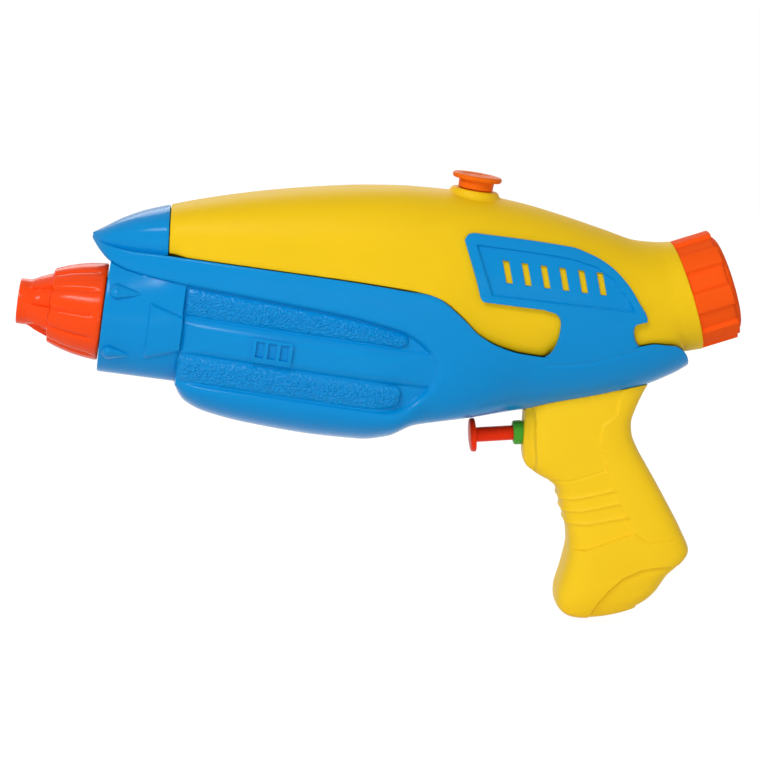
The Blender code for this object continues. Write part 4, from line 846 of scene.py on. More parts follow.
# Cover
KEEL_STEPS = 16
EDGE_STEPS = 4
FLOOR_STEPS = 17
RIB_STEPS = 24
LIP_STEPS = 5
BAND_STEPS = 16
NOSE_STEPS = 24
BRIDGE_STEPS = 18
PANEL_STEPS = 56
# Places of the panel's rows, closer together at the edges of its plate
PANEL_ROWS = ((0.0, 0.0), (0.12, 0.06), (0.36, 0.15), (0.5, 0.5), (0.58, 0.76), (0.92, 0.95), (1.0, 1.0))
UNDER_STEPS = 4  # across the beak's underside
LOWER = KEEL_STEPS + EDGE_STEPS + 2 * FLOOR_STEPS + RIB_STEPS + LIP_STEPS
RECESS_LINE = smooth_line(RECESS_EDGE, 60)


def cover_columns():
    """Sections of a cover, closer together where it has fine detail."""
    recess_end = 0.1700
    plate_front = PANEL_FRONT + 0.0030
    plate_wall = PANEL_FRONT + 0.0068
    tip = 0.2580
    stretches = (  # start, end and pitch
        (BAND_TOP[0][0] + 0.0001, COLLAR_FRONT - FIT, 0.0006),
        (COLLAR_FRONT, NOSE_END, 0.0007),
        (NOSE_END, COLLAR_REAR, 0.0008),
        (COLLAR_REAR + COLLAR_STEP, EVEN[0], 0.0007),
        (*EVEN, 0.0013),
        (EVEN[1], recess_end, 0.00036),
        (recess_end, PANEL_FRONT, 0.0006),
        (PANEL_FRONT, plate_front, 0.0006),
        (plate_front, plate_wall, 0.00025),
        (plate_wall, PANEL_END, 0.0007),
        (PANEL_END, tip, 0.0010),
        (tip, BAND_TOP[-1][0], 0.0004),
    )
    xs = [np.linspace(start, end, round((end - start) / pitch) + 1) for start, end, pitch in stretches]
    return np.unique(np.round(np.concatenate(xs), 7))


def band_half_width(x):
    """Half width of the band at its upper edge."""
    proud = COVER_PROUD * smooth_step(BAND_TOP[0][0], COLLAR_FRONT, x)
    return np.maximum(body_half_width(x, curve(BAND_TOP, x), proud), SPLIT / 2)


def rounding(distance, radius):
    """How far a rounded edge falls back at a distance from the edge."""
    share = np.clip(1 - distance / radius, 0.0, 1.0)
    return radius * (1 - np.sqrt(1 - share**2))


def band_skin(x, z):
    """Half width of the band between its lower and upper edges."""
    low, high = curve(BAND_LOW, x), curve(BAND_TOP, x)
    swell = smooth_step(BAND_TOP[0][0], COLLAR_FRONT, x)
    lip = LIP_PROUD * smooth_step(high, (low + high) / 2, z)
    return band_half_width(x) + swell * (lip - rounding(high - z, RIDGE_ROUND))


def recess_floor(x):
    """Half width of the floor between the band and the keel."""
    return band_skin(x, curve(BAND_LOW, x)) - STRIPE_INSET


def barrel_heights(x):
    """Heights of a section's rows, from the middle of the keel to the band's upper edge."""
    bottom = curve(HULL_BOTTOM, min(x, RECESS_FADE[1]))
    along = min(x, BAND_LOW[-1][0])
    low, high = curve(BAND_LOW, along), curve(BAND_TOP, along)
    turn = np.pi / 2 * np.arange(KEEL_STEPS) / KEEL_STEPS
    levels = [KEEL_EDGE - (KEEL_EDGE - bottom) * np.cos(turn)]
    spans = (
        (KEEL_EDGE, KEEL_EDGE + STEP_RUN, EDGE_STEPS),
        (KEEL_EDGE + STEP_RUN, RIB_BOTTOM, FLOOR_STEPS),
        (RIB_BOTTOM, RIB_TOP, RIB_STEPS),
        (RIB_TOP, low - WALL_RUN, FLOOR_STEPS),
        (low - WALL_RUN, low, LIP_STEPS),
        (low, high, BAND_STEPS),
    )
    for a, b, steps in spans:
        levels.append(mix(a, b, eased(steps)[:-1]))
    return np.concatenate(levels + [[high]])


def barrel_skin(x, z):
    """Outer form over the keel, the band and, as if it were filled, the recess between them."""
    bottom, low = curve(HULL_BOTTOM, x), curve(BAND_LOW, x)
    edge = recess_floor(x) + KEEL_LIP
    share = np.clip((KEEL_EDGE - z) / (KEEL_EDGE - bottom), 0.0, 1.0)
    front, full = KEEL_NOSE
    edge = edge * (1 - KEEL_NOSE_SHARE * min(max((full - x) / (full - front), 0.0), 1.0) ** 2)
    keel = edge * np.sqrt(1 - share**2)
    filled = mix(edge, band_skin(x, low), smooth_step(KEEL_EDGE, low, z))
    return np.where(z < KEEL_EDGE, keel, np.where(z > low, band_skin(x, z), filled))


def rib_profile(z):
    """How far the rib stands out at a height, from 0 to 1."""
    share = np.clip((z - RIB_BOTTOM) / (RIB_TOP - RIB_BOTTOM), 0.0, 1.0)
    return (1 - np.abs(2 * share - 1) ** RIB_ROUND) ** RIB_FALL


def recess_distance(x, z):
    """Distance outwards from the edge of the recess."""
    line = RECESS_LINE
    if x < line[0, 0]:
        return np.maximum(z - curve(BAND_LOW, x), KEEL_EDGE - z)
    end = np.interp(-z, -line[:, 1], line[:, 0])
    inside = (x < end) & (z < line[0, 1]) & (z > line[-1, 1])
    away = line_distance(x, z, line)
    return np.where(inside, -away, away)


def edge_fade(x):
    """One where the hull's upper edge stands free, and zero where the bridge rises from it."""
    front, rear = BRIDGE
    return 1 - smooth_step(front, front + BRIDGE_BLEND, x) * smooth_step(rear, rear - BRIDGE_BLEND, x)


def barrel_section(x):
    """Half widths and heights of one section behind the collar."""
    blend = smooth_step(*RECESS_FADE, x)
    barrel = barrel_heights(x)
    share = (barrel - barrel[0]) / (barrel[-1] - barrel[0])
    hull = mix(curve(HULL_BOTTOM, x), curve(BAND_TOP, x), mix(share, share**HULL_ROWS, 0.5))
    z = mix(barrel, hull, blend)
    rounded_edge = rounding(curve(BAND_TOP, x) - z, RIDGE_ROUND) * edge_fade(x)
    outer = mix(barrel_skin(x, z), hull_half_width(x, z) - rounded_edge, blend)
    base = recess_floor(x)
    deep = mix(base, np.minimum(base, outer - STRIPE_INSET), smooth_step(*RECESS_DEEP, x))
    sunk = RIB_SUNK * smooth_step(*RECESS_FADE, x + RIB_SUNK_LEAD)
    floor = np.minimum(deep + RIB_BULGE * rib_profile(z), outer - sunk)
    rim = mix(RIM_RUN, RIM_RUN_REAR, smooth_step(*RECESS_DEEP, x))
    rise = np.clip((recess_distance(x, z) + WALL_RUN) / (WALL_RUN + rim), 0.0, 1.0)
    y = mix(floor, outer, 1 - (1 - rise) ** RIM_FALL)
    if CREASE[0][0] <= x <= CREASE[-1][0]:
        y = y - CREASE_DEPTH * bell(z - curve(CREASE, x), CREASE_WIDTH)
    y[0] = SPLIT / 2
    return y, z


def collar_section(x):
    """Half widths and heights of one section of the collar, with the band over it."""
    low, high = curve(BAND_LOW, x), curve(BAND_TOP, x)
    inset = COLLAR_INSET * smooth_step(COLLAR_FRONT, COLLAR_REAR, x + COLLAR_INSET_LEAD)
    top_y = band_skin(x, low) - inset
    reach = math.acos(min(top_y / COLLAR_HALF_WIDTH, 1.0))
    t = np.linspace(0, 1, LOWER)
    turn = -np.pi / 2 + t * (reach + np.pi / 2)
    end_z = COLLAR_MIDDLE + COLLAR_HALF_HEIGHT * math.sin(reach)
    y = COLLAR_HALF_WIDTH * np.cos(turn)
    z = COLLAR_MIDDLE + COLLAR_HALF_HEIGHT * np.sin(turn) + t**3 * (low - COLLAR_UNDER - end_z)
    y[0] = SPLIT / 2
    band_z = mix(low, high, eased(BAND_STEPS))
    return np.concatenate([y, band_face(x, band_z)]), np.concatenate([z, band_z])


def band_face(x, z):
    """Half width of the band where its lower edge stands free."""
    swell = smooth_step(BAND_TOP[0][0], COLLAR_FRONT, x)
    return band_skin(x, z) - swell * rounding(z - curve(BAND_LOW, x), LIP_ROUND)


def collar_half_width(x, z):
    """Half width of the collar under its plate and drops."""
    y, heights = collar_section(min(x, COLLAR_REAR))
    return np.interp(z, heights[:LOWER], y[:LOWER])


def plate_grid():
    """Outer points of the raised plate on the collar."""
    columns = []
    for share in eased(PLATE_COLUMNS):
        x = mix(*PLATE, share)
        low, top = mix(*PLATE_LOW, share), mix(*PLATE_TOP, share)
        z = mix(low, top, eased(PLATE_ROWS))
        edge = np.minimum(np.minimum(z - low, top - z), x - PLATE[0])
        y = collar_half_width(x, z) + PLATE_HEIGHT * smooth_step(0.0, PLATE_SLOPE, edge)
        columns.append(column(x, y - EDGE_SUNK, z))
    return np.stack(columns)


def drop_grid(front, rear, height):
    """Outer points of a raised drop on the collar, round in front and pointed behind."""
    columns = []
    across = np.sin(np.linspace(-np.pi / 2, np.pi / 2, DROP_ROWS))
    for share in eased(DROP_COLUMNS):
        x = mix(front, rear, share)
        ahead_of_widest = 1 - min(share / DROP_WIDEST, 1.0)
        taper = (1 - max(share - DROP_WIDEST, 0.0) / (1 - DROP_WIDEST)) ** DROP_TAPER
        wide = math.sqrt(max(1 - ahead_of_widest**2, 0.0)) * taper
        z = height + max(wide, DROP_LEAST) * DROP_HALF_WIDTH * across
        y = collar_half_width(x, z) + DROP_HEIGHT * wide * np.sqrt(1 - across**2)
        columns.append(column(x, y - EDGE_SUNK, z))
    return np.stack(columns)


def beak_section(x):
    """The band's underside and face on the beak."""
    low, high = curve(BAND_LOW, x), curve(BAND_TOP, x)
    band_z = mix(low, high, eased(BAND_STEPS))
    band_y = np.maximum(band_face(x, band_z), SPLIT)
    y = np.full(LOWER, np.nan)
    z = np.full(LOWER, np.nan)
    share = np.arange(UNDER_STEPS) / UNDER_STEPS
    y[-UNDER_STEPS:] = mix(SPLIT / 2, band_y[0], share)
    z[-UNDER_STEPS:] = low + STEP_RUN / 4 * (1 - share)
    return np.concatenate([y, band_y]), np.concatenate([z, band_z])


def nose_lean(z):
    """How far the joint between the nose and the tank leans back towards its foot."""
    foot, top = curve(BAND_TOP, NOSE_END), BODY_STATIONS[TANK_FRONT][1]
    return NOSE_LEAN * np.clip((top - z) / (top - foot), 0.0, 1.0)


def nose_rows(x):
    """The nose over the band."""
    start = curve(BAND_TOP, x) + STEP_RUN / 4
    top = np.interp(x, TABLE[:, 0], TABLE[:, 1])
    z = mix(start, top, np.sin(np.linspace(0, np.pi / 2, NOSE_STEPS + 1)))
    at = x + nose_lean(z) * smooth_step(COLLAR_FRONT, NOSE_END, x)
    y = body_half_width(at, z, 0.0)
    y[-1] = SPLIT / 2
    return at, y, z


def panel_relief(x, z):
    """Depth of the panel's sunk plate, as heights."""
    return -PANEL_SUNK * smooth_step(*PANEL_STEP, inside_distance(x, z, PANEL_PLATE))


def bridge_shift(x, share):
    """How far the bridge's ends draw in, at a share of its height."""
    front = curve(BRIDGE_FRONT, share) * bell(x - BRIDGE[0], BRIDGE_SPREAD)
    rear = curve(BRIDGE_REAR, share) * bell(x - BRIDGE[1], BRIDGE_SPREAD)
    return front + rear


def panel_rows(x):
    """The bridge, where there is one, and the panel, whose front edge leans forward."""
    along = (x - PANEL_FRONT) / (PANEL_END - PANEL_FRONT)
    slant = PANEL_SLANT * (1 - along)
    corner = max(PANEL_CORNER - (x - PANEL_FRONT), 0.0)
    low = PANEL_LOW + PANEL_CORNER_RISE * corner**2 / PANEL_CORNER
    top = max(float(curve(PANEL_TOP, x - slant)), low + 2 * STEP_RUN)
    t = curve(PANEL_ROWS, np.linspace(0, 1, PANEL_STEPS + 1))
    pz = mix(low, top, t)
    px = x - slant * t + bridge_shift(x, 1.0) * smooth_step(PANEL_LOW + BRIDGE_BLEND, PANEL_LOW, pz)
    bridged = BRIDGE[0] - FIT <= x <= BRIDGE[1] + FIT
    edge = np.minimum(top - pz, x - PANEL_FRONT)
    if not bridged:
        edge = np.minimum(edge, pz - low)
    py = body_half_width(px, pz, COVER_PROUD) + panel_relief(px, pz) - rounding(edge, PANEL_ROUND)
    share = eased(BRIDGE_STEPS)[1:-1]
    bz = mix(curve(BAND_TOP, x), PANEL_LOW, share)
    bx = x + bridge_shift(x, share)
    side = max(min(x - BRIDGE[0], BRIDGE[1] - x), 0.0)
    by = hull_half_width(bx, bz) - rounding(side, PANEL_ROUND)
    if not bridged:
        by = np.full_like(by, np.nan)
    return np.concatenate([bx, px]), np.concatenate([by, py]), np.concatenate([bz, pz])


def cover_grid():
    """Outer points of the right cover as columns of rows, NaN where a column has no such row."""
    main = LOWER + BAND_STEPS + 1
    columns = []
    for x in cover_columns():
        if x < COLLAR_FRONT - SAME:
            y, z = beak_section(x)
        elif x <= COLLAR_REAR + SAME:
            y, z = collar_section(x)
        else:
            y, z = barrel_section(x)
        points = np.full((main + BRIDGE_STEPS + PANEL_STEPS, 3), np.nan)
        points[:main] = column(x, y, z)
        if x <= NOSE_END + SAME:
            points[main : main + NOSE_STEPS + 1] = np.stack(nose_rows(x), 1)
        elif PANEL_FRONT - SAME <= x <= PANEL_END + SAME:
            points[main:] = np.stack(panel_rows(x), 1)
        points[np.isnan(points[:, 1])] = np.nan
        points[:, 1] = np.maximum(points[:, 1], SPLIT / 2)
        columns.append(points)
    return np.stack(columns)


def prisms(name, outlines, depths, material):
    """A tool of prisms across the body, from side-view outlines."""
    verts, faces = [], []
    for outline in outlines:
        count = len(outline)
        near = [len(verts) + k for k in range(count)]
        far = [k + count for k in near]
        verts += [(x, y, z) for y in depths for x, z in outline]
        faces += [tuple(near), tuple(far)]
        for k in range(count):
            n = (k + 1) % count
            faces.append((near[k], near[n], far[n], far[k]))
    return add(name, verts, faces, material)


def panel_cutter(side, material):
    """The row of slots through a side panel, parallel to its front edge."""
    lean = PANEL_SLANT * SLOT_HEIGHT / (max(z for x, z in PANEL_TOP) - PANEL_LOW)
    half = SLOT_WIDTH / 2
    high = SLOT_LOW + SLOT_HEIGHT
    outlines = []
    for k in range(SLOTS):
        x = SLOT_FIRST + k * SLOT_PITCH
        foot = ((x - half, SLOT_LOW), (x + half, SLOT_LOW))
        outlines.append((*foot, (x + half - lean, high), (x - half - lean, high)))
    return prisms("panel_cutter", outlines, (side * SLOT_INSIDE, side * CUT_REACH), material)


def scatter(a, b, seed):
    """Numbers from 0 to 1 that look random, one for each pair of whole numbers: the usual sine hash."""
    return np.modf(np.abs(np.sin(a * 127.1 + b * 311.7 + seed * 74.7)) * 43758.5453)[0]


def pebbles(x, z):
    """Heights from 0 to 1 of a field of round grains."""
    u, v = x / PEBBLE_PITCH, z / PEBBLE_PITCH
    best = np.zeros_like(u)
    for du in (-1, 0, 1):
        for dv in (-1, 0, 1):
            a, b = np.floor(u) + du, np.floor(v) + dv
            size = mix(*PEBBLE_SIZE, scatter(a, b, 3))
            away = np.hypot(u - a - scatter(a, b, 1), v - b - scatter(a, b, 2)) / size
            best = np.maximum(best, np.sqrt(np.clip(1 - away**2, 0.0, 1.0)))
    return best


def pad_grid(bottom, top):
    """Outer points of a pebbled pad between two edges of the recess, with rounded rear corners."""
    share = np.linspace(0, 1, PAD_ROWS)
    columns = []
    for x in np.linspace(PAD_FRONT, PAD_REAR, PAD_COLUMNS):
        low, high = float(bottom(x)) + PAD_GAP, float(top(x)) - PAD_GAP
        cut_in = rounding(PAD_REAR - x, PAD_CORNER) * PAD_CUT_IN
        z = mix(low + cut_in, high - cut_in, share)
        end = np.clip(min(PAD_REAR - x, x - PAD_FRONT + PAD_FRONT_STEP) / PAD_CORNER, 0.0, 1.0)
        crown = (1 - np.abs(2 * share - 1) ** PAD_ROUND) * math.sqrt(1 - (1 - end) ** 2)
        grain = PEBBLE_HEIGHT * (pebbles(np.full_like(z, x), z) - 0.5) * crown
        columns.append(column(x, recess_floor(x) + STRIPE_BULGE * crown + grain, z))
    return np.stack(columns)


def vent_grid():
    """Outer points of the vent plate on the rib, with the cells of its windows."""
    pitch = (VENT[1] - VENT[0] - VENT_BAR) / VENT_SLOTS
    xs = [VENT[0]]
    for k in range(VENT_SLOTS):
        start = VENT[0] + VENT_BAR + k * pitch
        xs += [start, start + pitch - VENT_BAR]
    xs.append(VENT[1])
    steps = 3
    levels = np.array((VENT_LOW, *VENT_WINDOW, VENT_HIGH))
    rows = [np.linspace(a, b, steps + 1)[:-1] for a, b in zip(levels, levels[1:])]
    z = np.concatenate(rows + [levels[-1:]])
    columns = []
    for x in xs:
        columns.append(column(x, recess_floor(x) + RIB_BULGE * rib_profile(z) + VENT_HEIGHT, z))
    skip = np.zeros((len(xs) - 1, len(z) - 1), bool)
    skip[1 : 2 * VENT_SLOTS : 2, steps : 2 * steps] = True
    return np.stack(columns), skip


def circle(x, z, radius):
    """Points of the side view round a place."""
    turn = turns(SCREW_SIDES)
    return np.stack([x + radius * np.cos(turn), z + radius * np.sin(turn)], 1)


def screw_cutter(places, material):
    """Bores for the screws' heads, from the right."""
    outlines = [circle(x, z, SCREW_RECESS) for x, z in places]
    return prisms("screw_cutter", outlines, (SCREW_SEAT, CUT_REACH), material)


def screw_wells(places, depth_at, material):
    """Tubes from the screws' heads out to the shell, each ending just under its outer skin."""
    made = []
    for number, (x, z) in enumerate(places):
        inside = circle(x, z, SCREW_RECESS)
        outside = circle(x, z, SCREW_RECESS + BOSS_WALL)
        end = np.maximum([depth_at(*place) for place in outside], SCREW_SEAT + FIT)
        seat = np.full(SCREW_SIDES, SCREW_SEAT)
        rings = []
        for ring, depth in ((inside, seat), (outside, seat), (outside, end), (inside, end)):
            rings.append(np.stack([ring[:, 0], depth, ring[:, 1]], 1))
        made.append(skinned(f"screw_well_{number}", rings, material, True))
    return made


def depth_on(grid):
    """A measure of how far out a shell's skin lies at a place of the side view."""
    points = grid[~np.isnan(grid[..., 0])]
    count = 6

    def depth(x, z):
        near = np.argpartition((points[:, 0] - x) ** 2 + (points[:, 2] - z) ** 2, count)[:count]
        return points[near, 1].min() - WELL_DEPTH

    return depth


def recess_edges():
    """Lower and upper edges of the two pads, by name, as heights along the barrel."""

    def under_band(x):
        return curve(BAND_LOW, x) - WALL_RUN

    def over_keel(x):
        start, rise = PAD_TUCK
        return KEEL_EDGE + STEP_RUN + rise * (max(x - start, 0.0) / (PAD_REAR - start)) ** 2

    return (("upper", lambda _: RIB_TOP, under_band), ("lower", over_keel, lambda _: RIB_BOTTOM))


def make_pads(side, word, material):
    """The two pads of one side, smooth over all their grains."""
    for label, low, high in recess_edges():
        verts, faces = shell(pad_grid(low, high), COVER_WALL / 2)
        pad = add(f"cover_{word}_{label}_pad", mirrored(verts, side), faces, material, sharp=80.0)
        piece(pad, "gun", "cover_blue")


def half_wall(name, span, hole, side, material):
    """A half wall inside the collar, with a round hole on the nozzle's axis."""
    steps = 40
    wide = COLLAR_HALF_WIDTH - COVER_WALL / 2
    high = COLLAR_HALF_HEIGHT - COVER_WALL / 2
    rings = []
    for a in np.linspace(-np.pi / 2, np.pi / 2, steps + 1):
        outer = (max(wide * math.cos(a), SPLIT / 2), COLLAR_MIDDLE + high * math.sin(a))
        inner = (max(hole * math.cos(a), SPLIT / 2), hole * math.sin(a))
        ring = [(span[0], *outer), (span[1], *outer), (span[1], *inner), (span[0], *inner)]
        rings.append(mirrored(np.array(ring), side))
    return skinned(name, rings, material, False, (True, True))


def make_cover(side, word, grid, material):
    """A cover's shell, with its cuts, reliefs and inner walls."""
    xs = grid[:, LOWER, 0]
    skip = np.zeros((grid.shape[0] - 1, grid.shape[1] - 1), bool)
    beak_end = int(np.searchsorted(xs, COLLAR_FRONT - SAME)) - 1
    skip[beak_end, :LOWER] = True
    panel_start = int(np.searchsorted(xs, PANEL_FRONT - SAME)) - 1
    skip[panel_start, LOWER + BAND_STEPS :] = True
    tip = np.clip((BAND_TOP[-1][0] - grid[..., 0]) / TIP_RUN, TIP_WALL, 1.0)
    verts, faces = shell(grid, COVER_WALL * tip[..., None], skip, EDGE_DROP)
    cover = add(f"cover_{word}_shell", mirrored(verts, side), faces, material)
    cut(cover, panel_cutter(side, material))
    extra = []
    if side > 0:
        cut(cover, screw_cutter(COVER_SCREWS, material))
        extra += screw_wells(COVER_SCREWS, depth_on(grid), material)
    vent, openings = vent_grid()
    reliefs = [(vent, openings, 2 * VENT_HEIGHT), (plate_grid(), None, PLATE_HEIGHT)]
    reliefs += [(drop_grid(*drop), None, PLATE_HEIGHT) for drop in DROPS]
    for points, gaps, deep in reliefs:
        verts, faces = shell(points, deep, gaps)
        extra.append(add("relief", mirrored(verts, side), faces, material))
    extra.append(half_wall("collar_ring", COLLAR_RING, SPIGOT_RADIUS + FIT, side, material))
    extra.append(half_wall("bulkhead", BULKHEAD, JET_RADIUS + FIT, side, material))
    join(cover, *extra)
    piece(cover, "gun", "cover_blue", f"cover_{word}")


# Tank
def body_points(number, grow, turn):
    """Points of a section at turns from its top, each grown by its own amount."""
    tx, tz, bx, bz, half = section_at(number)
    over, under = powers(number)
    power = np.where(np.cos(turn) >= 0, over, under)
    length = math.hypot(tx - bx, tz - bz)
    rise = (length / 2 + grow) * signed_power(np.cos(turn), 2 / power)
    y = (half + grow) * signed_power(np.sin(turn), 2 / power)
    x = (tx + bx) / 2 + (tx - bx) / length * rise
    return np.stack([x, y, (tz + bz) / 2 + (tz - bz) / length * rise], 1)


def seam_turn(number):
    """Turn from a section's top to the open seam over the covers' upper edge."""
    turn = np.linspace(*SEAM_SEARCH, SEAM_TRIES) * np.pi
    points = body_points(number, 0.0, turn)
    over = points[:, 2] > curve(BAND_TOP, points[:, 0]) + SEAM_GAP
    return turn[max(int(over.sum()) - 1, 0)]


def tank_ring(number, grow):
    """A section of the tank, drawn in under the covers, whose front leans with the nose."""
    seam = seam_turn(number)
    at = body_points(number, 0.0, np.array([seam]))[0, 0]
    depth = SEAM_DEPTH * smooth_step(*SEAM_END, at)
    down = seam * (1 - (1 - np.linspace(0, 1, FLANK_STEPS)) ** FLANK_CLOSER)
    heights = body_points(number, 0.0, down)[:, 2]
    swell = SEAM_SWELL * edge_fade(at) * smooth_step(*SEAM_START, at) * smooth_step(*SEAM_END, at)
    flank = swell * bell(heights - heights[-1], SEAM_SWELL_RUN)
    wall = (swell + depth) * np.array(SEAM_WALL) - swell
    under = np.linspace(seam, np.pi, HIDDEN_STEPS + 1)[1:]
    turn = np.concatenate([down, np.full_like(wall, seam), under])
    inset = np.concatenate([-flank, wall, np.full_like(under, depth)])
    half = body_points(number, grow - inset, turn)
    half[[0, -1], 1] = 0.0
    ring = np.concatenate([half, half[-2:0:-1] * np.array((1.0, -1.0, 1.0))])
    start = BODY_STATIONS[TANK_FRONT][0]
    ring[:, 0] += nose_lean(ring[:, 2]) * smooth_step(start + NOSE_LEAN_RUN, start, ring[:, 0])
    return ring


def make_tank(material):
    """The tank from its snout to the neck, and back along the neck's bore."""
    first = TANK_FRONT * TABLE_STEPS
    last = len(TABLE) - 1
    snout = tank_ring(first, -(COVER_WALL + TANK_GAP))
    centre = snout.mean(0)
    rings = []
    for reach, scale in SNOUT_RINGS:
        rings.append(centre + (snout - centre) * scale + np.array((-SNOUT_LENGTH * reach, 0.0, 0.0)))
    rings += [tank_ring(first, -COVER_WALL), tank_ring(first, -EDGE_DROP)]
    rings += [tank_ring(number, 0.0) for number in np.linspace(first + TANK_START, last, TANK_RINGS)]
    along = neck_direction()
    shoulder = rings[-1]
    middle = (shoulder.min(0) + shoulder.max(0)) / 2

    def neck_ring(radius, at):
        return middle + (shoulder - middle) * radius / SHOULDER_RADIUS + along * at

    profile = (
        (SHOULDER_RADIUS - 0.0004, 0.0003),
        (NECK_RADIUS + 0.0004, 0.0003),
        (NECK_RADIUS, 0.0008),
        (NECK_RADIUS, NECK_LENGTH - 0.0004),
        (NECK_RADIUS - 0.0004, NECK_LENGTH),
        (NECK_RADIUS - NECK_WALL, NECK_LENGTH),
        (NECK_RADIUS - NECK_WALL, -TANK_WALL),
    )
    rings += [neck_ring(r, at) for r, at in profile]
    inside = np.linspace(last - INSIDE_MARGIN, first + INSIDE_MARGIN, INSIDE_RINGS)
    rings += [tank_ring(number, -TANK_WALL) for number in inside]
    tank = skinned("tank_skin", rings, material, caps=(True, True), sharp=40.0)
    piece(tank, "gun", "tank_yellow", "tank")


def tank_top(x, y):
    """Heights of the tank's skin over points of the plan, by halving."""
    _, tz, _, bz, _ = section_at(np.interp(x, TABLE[:, 0], np.arange(len(TABLE))))
    low, high = (tz + bz) / 2, tz
    halvings = 30
    for _ in range(halvings):
        guess = (low + high) / 2
        wide = body_half_width(x, guess, 0.0) > np.abs(y)
        low, high = np.where(wide, guess, low), np.where(wide, high, guess)
    return (low + high) / 2


def plug_axis():
    """Foot and direction of the plug's axis."""
    top = float(np.interp(PLUG_X, TABLE[:, 0], TABLE[:, 1]))
    return np.array((PLUG_X, 0.0, top)), np.array((math.sin(PLUG_TILT), 0.0, math.cos(PLUG_TILT)))


def make_plug_boss(material):
    """Raised seat for the plug, with a foot that follows the tank's skin."""
    origin, direction = plug_axis()
    turn = turns(BOSS_SEGMENTS)

    def ring(radius, z):
        return placed(ring_at(radius, z, turn), origin, direction)

    feet = (
        (BOSS_RADIUS + 0.0012, -0.0003),
        (BOSS_RADIUS + 0.0004, 0.0002),
        (BOSS_RADIUS, 0.0005),
    )
    profile = (
        (BOSS_TOP_RADIUS + 0.0001, BOSS_RISE - 0.0005),
        (BOSS_TOP_RADIUS - 0.0001, BOSS_RISE - 0.0002),
        (BOSS_TOP_RADIUS - 0.0004, BOSS_RISE),
        (BOSS_BORE + 0.0003, BOSS_RISE),
        (BOSS_BORE, BOSS_RISE - 0.0003),
        (BOSS_BORE, -2 * BOSS_ROOT),
    )
    rings = []
    for radius, lift in feet:
        foot = ring(radius, 0.0)
        foot[:, 2] = tank_top(foot[:, 0], foot[:, 1]) + lift
        rings.append(foot)
    rings.append(mix(rings[-1], ring(BOSS_TOP_RADIUS, BOSS_RISE - 0.0004), 0.5))
    rings += [ring(radius, z) for radius, z in profile]
    boss = skinned("plug_boss", rings, material, caps=(False, True), sharp=50.0)
    piece(boss, "gun", "tank_yellow")


# Grip
def below(line, x, z):
    """How far points of the side view lie under a line."""
    xs, zs = np.array(line).T
    return np.interp(x, xs, zs) - z


def ahead(line, x, z):
    """How far points of the side view lie in front of a line that runs downwards."""
    xs, zs = np.array(line).T
    return np.interp(-z, -zs, xs) - x


def grip_steps(x, z):
    """Steps moulded on the grip's sides, as heights."""
    boss = smooth_step(*GRIP_BOSS_SPAN, ahead(GRIP_BOSS, x, z)) * smooth_step(*GRIP_BOSS_FADE, z)
    butt = smooth_step(*GRIP_STEP_SPAN, below(BUTT_LINE, x, z))
    cheek = smooth_step(*GRIP_STEP_SPAN, ahead(CHEEK_EDGE, x, z)) * (1 - butt)
    heel = smooth_step(*HEEL_SPAN, below(HEEL_LINE, x, z)) * (x > HEEL_LINE[0][0])
    heights = BUTT_HEIGHT * butt - CHEEK_DEPTH * cheek - GRIP_BOSS_DEPTH * boss
    return heights - (HEEL_DEPTH + BUTT_HEIGHT) * heel


def grip_ridges(x, z):
    """Ridges under the fingers and the groove above them, as heights."""
    total = -CHEEK_LINE_DEPTH * bell(line_distance(x, z, CHEEK_LINE), CHEEK_LINE_WIDTH)
    for ridge in GRIP_RIDGES:
        share = np.clip(line_distance(x, z, ridge) / RIDGE_HALF_WIDTH, 0.0, 1.0)
        total = total + RIDGE_HEIGHT * (1 - share**2) ** 2
    return total


def half_outline(power, aspect, count):
    """Half of a superellipse, from its front to its rear, at equal steps along it."""
    fine = 4001
    turn = np.linspace(0, np.pi, fine)
    along = signed_power(np.cos(turn), 2 / power)
    across = np.abs(np.sin(turn)) ** (2 / power)
    across[[0, -1]] = 0.0
    steps = np.hypot(np.diff(along), np.diff(across) * aspect)
    way = np.concatenate([[0.0], np.cumsum(steps)])
    at = np.linspace(0, way[-1], count + 1)
    return np.interp(at, way, along), np.interp(at, way, across)


def grip_grid():
    """Outer points of the right grip half, with its steps and ridges."""
    last = len(GRIP_STATIONS) - 1
    place = np.linspace(0, last, last * GRIP_STEPS + 1)
    fx, fz, rx, rz, half, bulge = between(GRIP_STATIONS, place)
    along, across = half_outline(GRIP_ROUND, GRIP_ASPECT, GRIP_COUNT)
    columns = []
    for k in range(len(place)):
        x = (fx[k] + rx[k]) / 2 + (fx[k] - rx[k]) / 2 * along
        z = (fz[k] + rz[k]) / 2 + (fz[k] - rz[k]) / 2 * along - bulge[k] * (1 - along**2)
        y = np.maximum(half[k] * across, SPLIT / 2)
        lift = hull_underside(x, y) - OPENING_GAP - z
        z = np.maximum(z + lift * max(1 - place[k], 0.0) ** 2, GRIP_LOW)
        columns.append(np.stack([x, y, z], 1))
    grid = np.stack(columns)
    normals, _ = grid_normals(grid)
    x, z = grid[..., 0], grid[..., 2]
    sideways = smooth_step(*GRIP_FACING, across)
    downwards = smooth_step(*GRIP_FACING, -normals[..., 2])
    grid = grid + spread(normals, 2) * grip_ridges(x, z)[..., None]
    grid[..., 1] = np.maximum(grid[..., 1] + grip_steps(x, z) * sideways, SPLIT / 2)
    grid[..., 2] -= BUTT_HEIGHT * downwards * (z < BUTT_UNDERSIDE)
    grid[..., 2] = np.maximum(grid[..., 2], GRIP_LOW)
    grid[:, [0, -1], 1] = SPLIT / 2
    return grid


